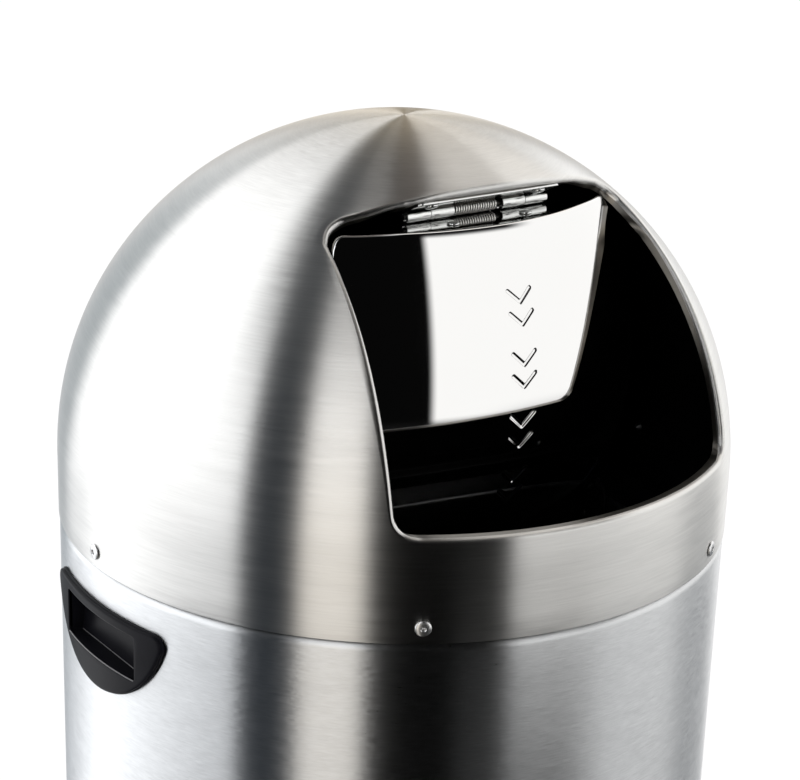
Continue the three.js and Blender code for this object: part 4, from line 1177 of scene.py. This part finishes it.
def markDepth(x, arc):   # pressed chevrons, two at each place
    depth = np.zeros_like(x)
    for elevation in marks["elevations"]:
        for shift in (-0.5, 0.5):
            tip = math.radians(elevation) * flap["radius"] + shift * marks["pair"] - marks["drop"] / 2
            for side in (-1, 1):
                across, up = side * marks["half"], marks["drop"]
                t = np.clip((x * across + (arc - tip) * up) / (across ** 2 + up ** 2), 0, 1)
                away = np.hypot(x - t * across, arc - tip - t * up)
                stroke = marks["depth"] * (1 - smooth(away, marks["flat"], marks["stroke"]))
                depth = np.maximum(depth, stroke)
    return depth


def flapOutlineTop(x):   # height at which the shut flap's face meets its flange
    slope = math.radians(flap["slope"])
    z = np.full_like(x, hinge["z"])
    for _ in range(40):
        y = -np.sqrt(np.maximum(flap["radius"] ** 2 - x ** 2 - (z - domeCentre) ** 2, 1))
        plane = (flap["plane"] - (y - hinge["y"]) * math.sin(slope)) / math.cos(slope)
        z = 0.5 * z + 0.5 * (hinge["z"] + plane)
    return z


def flapBoundary(f):   # bottom, right, top and left, in the front view, with matched steps
    steps = 60
    right = halfOutline(f["margin"], steps)
    xs = np.linspace(0, right[:, 0].max(), 600)
    tops = flapOutlineTop(xs)
    over = right[:, 1] > np.interp(right[:, 0], xs, tops)
    over[:steps] = False
    cut = int(np.argmax(over))
    before, after = right[cut - 1], right[cut]
    gaps = [point[1] - np.interp(point[0], xs, tops) for point in (before, after)]
    corner = before + (after - before) * gaps[0] / (gaps[0] - gaps[1])
    side = np.concatenate((right[:cut], [corner]))
    side = side[np.linalg.norm(side - corner, axis=1) > f["corner"]]
    topLine = np.stack((xs, tops), 1)
    farOff = np.linalg.norm(topLine - corner, axis=1) > f["corner"]
    first, last = side[-1], topLine[farOff & (xs < corner[0])][-1]
    half = np.linspace(0, 0.5, 16)
    side = np.concatenate((side, bezier(first, corner, last, half)))
    topLine = np.concatenate((topLine[xs < last[0]], bezier(last, corner, first, half)))
    corner = side[-1]
    lowStep = 28   # middle of the bottom corner
    low = side[lowStep]
    lowSide = side[:lowStep + 1][np.argsort(side[:lowStep + 1, 0])]

    def bottomZ(x):
        return np.interp(np.abs(x), lowSide[:, 0], lowSide[:, 1])

    def sideX(z):
        return np.interp(z, side[lowStep:, 1], side[lowStep:, 0])

    topArc = f["radius"] * math.asin((tops[0] - domeCentre) / f["radius"])
    lowArc = f["radius"] * math.asin((side[0, 1] - domeCentre) / f["radius"])
    markLow, markHigh = (f["radius"] * math.radians(f[k]) for k in ("markLow", "markHigh"))
    arcs = np.concatenate((
        lowArc + (markLow - lowArc) * np.linspace(0, 1, 9)[:-1] ** 1.3,
        np.arange(markLow, markHigh, f["markStep"]), np.linspace(markHigh, topArc, 7)))
    v = (np.sin(arcs / f["radius"]) * f["radius"] + domeCentre - side[0, 1]) / (tops[0] - side[0, 1])
    v = (v - v[0]) / (v[-1] - v[0])
    fine = f["markHalf"] / low[0]
    middle = np.linspace(-fine, fine, int(2 * f["markHalf"] / f["markStep"]) + 1)
    outer = fine + (1 - fine) * np.sin(np.linspace(0, math.pi / 2, 34)) ** 1.15
    s = np.concatenate((-outer[::-1], middle[1:-1], outer))
    sideZ = low[1] + (corner[1] - low[1]) * v
    bottom = np.stack((s * low[0], bottomZ(s * low[0])), 1)
    top = np.stack((s * corner[0], np.interp(np.abs(s * corner[0]), topLine[:, 0], topLine[:, 1])), 1)
    rightSide = np.stack((sideX(sideZ), sideZ), 1)
    rightSide[0], rightSide[-1] = bottom[-1], top[-1]
    loop = np.concatenate((bottom[:-1], rightSide[:-1], top[::-1][:-1], (rightSide * (-1, 1))[::-1][:-1]))
    return loop, s, v


def coons(loop, s, v, axes):   # fills four matched edges
    m, n = len(s), len(v)
    edge = loop[:, axes]
    bottom, right = edge[:m], edge[m - 1:m + n - 1]
    top = edge[m + n - 2:2 * m + n - 2][::-1]
    left = np.concatenate((edge[2 * m + n - 3:], edge[:1]))[::-1]
    u = ((s + 1) / 2)[None, :, None]
    w = v[:, None, None]
    sides = (1 - w) * bottom[None] + w * top[None] + (1 - u) * left[:, None] + u * right[:, None]
    corners = (1 - w) * ((1 - u) * bottom[0] + u * bottom[-1]) + w * ((1 - u) * top[0] + u * top[-1])
    return sides - corners


def flapFace(f, loop, s, v, radius):   # the curved face inside a loop, with the pressed marks
    grid = coons(loop, s, v, [0, 2])
    m, n = len(s), len(v)
    x, z = grid[..., 0].ravel(), grid[..., 1].ravel()
    points = np.stack((x, -np.sqrt(radius ** 2 - x ** 2 - (z - domeCentre) ** 2), z), 1)
    out = unit(points - (0, 0, domeCentre))
    arc = np.arcsin(np.clip((z - domeCentre) / np.hypot(z - domeCentre, points[:, 1]), -1, 1)) * f["radius"]
    points -= out * markDepth(x, arc)[:, None]
    faces = [
        (r * m + c, r * m + c + 1, (r + 1) * m + c + 1, (r + 1) * m + c)
        for r in range(n - 1) for c in range(m - 1)]
    rim = list(range(m - 1)) + [r * m + m - 1 for r in range(n - 1)]
    rim += [(n - 1) * m + c for c in range(m - 1, 0, -1)] + [r * m for r in range(n - 1, 0, -1)]
    points[rim] = loop
    return points, faces


def flapSheet(f):   # a face outside and one inside, joined by the folded edge
    flat, s, v = flapBoundary(f)
    y = -np.sqrt(f["radius"] ** 2 - flat[:, 0] ** 2 - (flat[:, 1] - domeCentre) ** 2)
    edge = np.stack((flat[:, 0], y, flat[:, 1]), 1)
    centre = np.array((0, 0, domeCentre))
    normal = unit(edge - centre)
    toward = acrossEdge(edge, normal, aimWay * f["radius"] + centre, -1)
    slope = math.radians(f["slope"])
    lipWay, share = turnedWay(toward, slope, 1)
    lipWay = straightened(lipWay, edge, normal, f["cornerLow"])
    start = unit(foldStart(edge, toward, lipWay, f["fold"]) - centre) * f["radius"] + centre
    outerFold, innerFold = bent(start, toward, lipWay, f["fold"], f["sheet"])
    end = outerFold[-1]
    length = lipLength(end, centre, lipWay, f["radius"] - f["lip"])
    length = share * (aheadOfHinge(end, slope) + f["rear"]) + (1 - share) * length
    lip = [end + lipWay * (length * t)[:, None] for t in (1, 0.66, 0.33)]
    lipInner = [innerFold[-1] + lipWay * (length * t)[:, None] for t in (0.33, 0.66, 1)]
    rim = looped(lip + outerFold[::-1])
    back = looped(innerFold + lipInner + lip[:1])
    face = flapFace(f, start, s, v, f["radius"])
    inside = flapFace(f, innerFold[0], s, v, f["radius"] - f["sheet"])
    return joined(face, rim, back, inside)


swing = flange @ Matrix.Rotation(math.radians(flap["open"]), 4, "X") @ flange.inverted()
piece("flapSheet", moved(flapSheet(flap), swing), mirrorSteel, "flap", "flap_panel", 40)
print("flap made")

liner = {
    "base": 157.5, "top": 165.5, "low": 15.8, "high": 480, "sheet": 1, "floor": 156.2, "floorZ": 21.3,
    "beadZ": 483, "beadRadius": 168, "bead": 2.5,
    "ear": (162.02, 163.52), "earHalf": 12, "earLow": 460, "crown": 486.8, "earCorner": 2, "earBevel": 0.2,
    "hole": 2.8, "axis": 492.8,
    "rivetOut": 166.3, "rivetY": 7, "rivetZ": 471, "rivetGrip": 4.58,
}


def linerWallPath(n):   # up the wall and round the rolled rim
    middle = ((n["base"] + n["top"]) / 2, (n["low"] + n["high"]) / 2)
    wall = [(n["base"], n["low"]), middle, (n["top"], n["high"])]
    roll = arcPath(n["bead"], 180, -140, 26)
    return wall + [(n["beadRadius"] + x, n["beadZ"] + z) for x, z in roll]


def linerFloorPath(n):
    return rounded([
        (0.01, n["floorZ"], 0), (n["floor"], n["floorZ"], 1.5), (n["floor"], n["low"], 0)], 5, closed=False)


wallShape = turned(sheetLoop(linerWallPath(liner), liner["sheet"]), 200)
floorShape = turned(sheetLoop(linerFloorPath(liner), liner["sheet"]), 160)
piece("linerWall", wallShape, shadedGalvanised, "liner", "liner_wall", 40)
piece("linerFloor", floorShape, shadedGalvanised, "liner", "liner_floor")


def linerEar(e, side):   # a round-headed tab with a hole for the bail
    half, low, corner = e["earHalf"], e["earLow"], e["earCorner"]
    crown = [(half * math.cos(a), e["crown"] + half * math.sin(a)) for a in np.linspace(0, math.pi, 25)]
    foot = [(-half, low + corner), (-half + corner, low), (half - corner, low), (half, low + corner)]
    outline = np.array(crown + foot)
    angles = np.linspace(-math.pi, math.pi, 64, endpoint=False)
    rim = byAngle(outline, (0, e["axis"]), angles)
    rim[np.argmin(np.linalg.norm(rim - outline[-1], axis=1))] = outline[-1]
    hole = np.stack((e["hole"] * np.cos(angles), e["axis"] + e["hole"] * np.sin(angles)), 1)
    inner, outer = (side * v for v in e["ear"])
    loops = [
        np.stack((np.full(64, x), flat[:, 0], flat[:, 1]), 1)
        for x, flat in ((inner, hole), (inner, rim), (outer, rim), (outer, hole), (inner, hole))]
    return looped(loops)


for side, word in ((-1, "left"), (1, "right")):
    ear, node = linerEar(liner, side), "liner_ear_" + word
    piece("linerEar." + word, ear, shadedGalvanised, "liner", node, bevel=liner["earBevel"])
    for i, y in enumerate((-liner["rivetY"], liner["rivetY"])):
        place = Matrix.Translation((side * liner["rivetOut"], y, liner["rivetZ"]))
        rivet = moved(solidRivet(liner["rivetGrip"]), place @ Matrix.Rotation(side * math.pi / 2, 4, "Y"))
        node = f"ear_rivet_{word}_{i + 1}"
        piece(f"earRivet.{word}.{i + 1}", rivet, shadedGalvanised, "liner", node, 40)

bail = {
    "radius": 169, "bend": 5, "hook": 8, "wire": 2.5, "steps": 72,
    "sleeve": 6.5, "bore": 3.1, "angle": 34, "waves": 6, "wave": 0.35, "endDrop": 1.2, "endShare": 0.02,
    "rings": 60, "sides": 24,
}


def bailPath(b):   # half a circle with its ends bent in through the ears
    inner = b["radius"] - b["bend"]
    path = [(-inner + b["hook"] * t, 0, 0) for t in (1, 0.5, 0)]
    corner = np.linspace(0, math.pi / 2, 9)[1:]
    path += [(-inner - b["bend"] * math.sin(a), b["bend"] * (1 - math.cos(a)), 0) for a in corner]
    start = len(path) - 1
    first = math.asin(b["bend"] / b["radius"])
    sweep = np.linspace(first, math.pi - first, b["steps"] + 1)[1:-1]
    path += [(-b["radius"] * math.cos(a), b["radius"] * math.sin(a), 0) for a in sweep]
    return path + [(-x, y, z) for x, y, z in path[start::-1]]


def bailSleeve(b):   # a moulded tube with finger waves
    count = b["rings"] + 1
    share = np.arange(count) / b["rings"]
    turns = np.radians(90 + b["angle"] * (share - 0.5))
    skinRadii = b["sleeve"] - b["wave"] * (1 - np.cos(share * 2 * math.pi * b["waves"])) / 2
    skinRadii -= b["endDrop"] * np.maximum(0, 1 - np.minimum(share, 1 - share) / b["endShare"]) ** 2
    path = np.stack((-b["radius"] * np.cos(turns), b["radius"] * np.sin(turns), np.zeros(count)), 1)
    sides = b["sides"]
    skin, bore = tube(path, skinRadii, sides), tube(path, b["bore"], sides)
    points = np.concatenate((skin[0], bore[0]))
    n = len(skin[0])
    faces = [f for f in skin[1] if len(f) == 4] + [tuple(i + n for i in f) for f in bore[1] if len(f) == 4]
    for base in (0, n - sides):   # the two ends, between skin and bore
        for j in range(sides):
            k = (j + 1) % sides
            faces.append((base + j, base + k, n + base + k, n + base + j))
    return points, faces


level = Matrix.Translation((0, 0, liner["axis"]))
wireShape = moved(tube(bailPath(bail), bail["wire"], 16), level)
piece("bailWire", wireShape, zincSteel, "bail", "liner_bail", 50)
piece("bailSleeve", moved(bailSleeve(bail), level), satinBlack, "bail", "bail_grip")
print("liner made")

ground = {"radius": 16, "sides": 96, "colour": (0.86, 0.86, 0.86), "glow": 1.12, "share": 0.5}
white = (1, 1, 1, 1)


def stageItem(name, points, faces, material):
    mesh = bpy.data.meshes.new(name)
    mesh.from_pydata(points, [], faces)
    mesh.materials.append(material)
    item = bpy.data.objects.new(name, mesh)
    bpy.context.scene.collection.objects.link(item)
    return item


def layFloor(g):   # half of its white is its own glow for the camera, and reflections don't see it
    material = bpy.data.materials.new("floor")
    tree = Tree(material)
    paths = tree.add("ShaderNodeLightPath")
    soft = tree.add("ShaderNodeBsdfDiffuse", sockets={"Color": g["colour"] + (1,)})
    glow = tree.add("ShaderNodeEmission", sockets={"Color": white, "Strength": g["glow"]})
    clear = tree.add("ShaderNodeBsdfTransparent")
    seen = tree.mixShader(tree.out(paths, "Is Camera Ray") * g["share"], soft, glow)
    mixed = tree.mixShader(tree.out(paths, "Is Glossy Ray"), seen, clear)
    tree.add("ShaderNodeOutputMaterial", sockets={"Surface": mixed})
    turns = np.linspace(0, 2 * math.pi, g["sides"], endpoint=False)
    points = [(g["radius"] * math.cos(a), g["radius"] * math.sin(a), 0) for a in turns]
    stageItem("floor", points, [tuple(range(g["sides"]))], material)


layFloor(ground)
flagCard = {   # degrees round from the camera's side; metres
    "radius": 0.47, "left": 16, "right": 66, "top": 0.44, "level": 0.05, "columns": 24, "foot": 0.002,
    "leftSoft": 6, "rightSoft": 22, "topSoft": 0.04,
}


def standFlag(g):   # a dark card in front of the bin's right side, seen only in the steel
    material = bpy.data.materials.new("flag")
    tree = Tree(material)
    place = tree.add("ShaderNodeSeparateXYZ", sockets={0: tree.value("ShaderNodeTexCoord", name="Object")})
    x, y, z = (tree.out(place, letter) for letter in "XYZ")
    angle = tree.maths("ARCTAN2", x, y * -1) * (180 / math.pi) - view["turn"]
    solid = tree.step(angle, g["left"], g["left"] + g["leftSoft"])
    solid = solid * (1 - tree.step(angle, g["right"] - g["rightSoft"], g["right"]))
    solid = solid * (1 - tree.step(z, g["top"] - g["topSoft"], g["top"]))
    glow = tree.add("ShaderNodeEmission", sockets={"Color": white, "Strength": g["level"]})
    mixed = tree.mixShader(solid, tree.add("ShaderNodeBsdfTransparent"), glow)
    tree.add("ShaderNodeOutputMaterial", sockets={"Surface": mixed})
    turns = np.radians(np.linspace(g["left"], g["right"], g["columns"]) + view["turn"])
    arc = [(g["radius"] * math.sin(a), -g["radius"] * math.cos(a)) for a in turns]
    points = [place + (h,) for place in arc for h in (g["foot"], g["top"])]
    faces = [(2 * i, 2 * i + 2, 2 * i + 3, 2 * i + 1) for i in range(g["columns"] - 1)]
    flag = stageItem("flag", points, faces, material)
    for way in ("camera", "diffuse", "transmission", "shadow", "volume_scatter"):
        setattr(flag, "visible_" + way, False)


standFlag(flagCard)
print("floor laid")
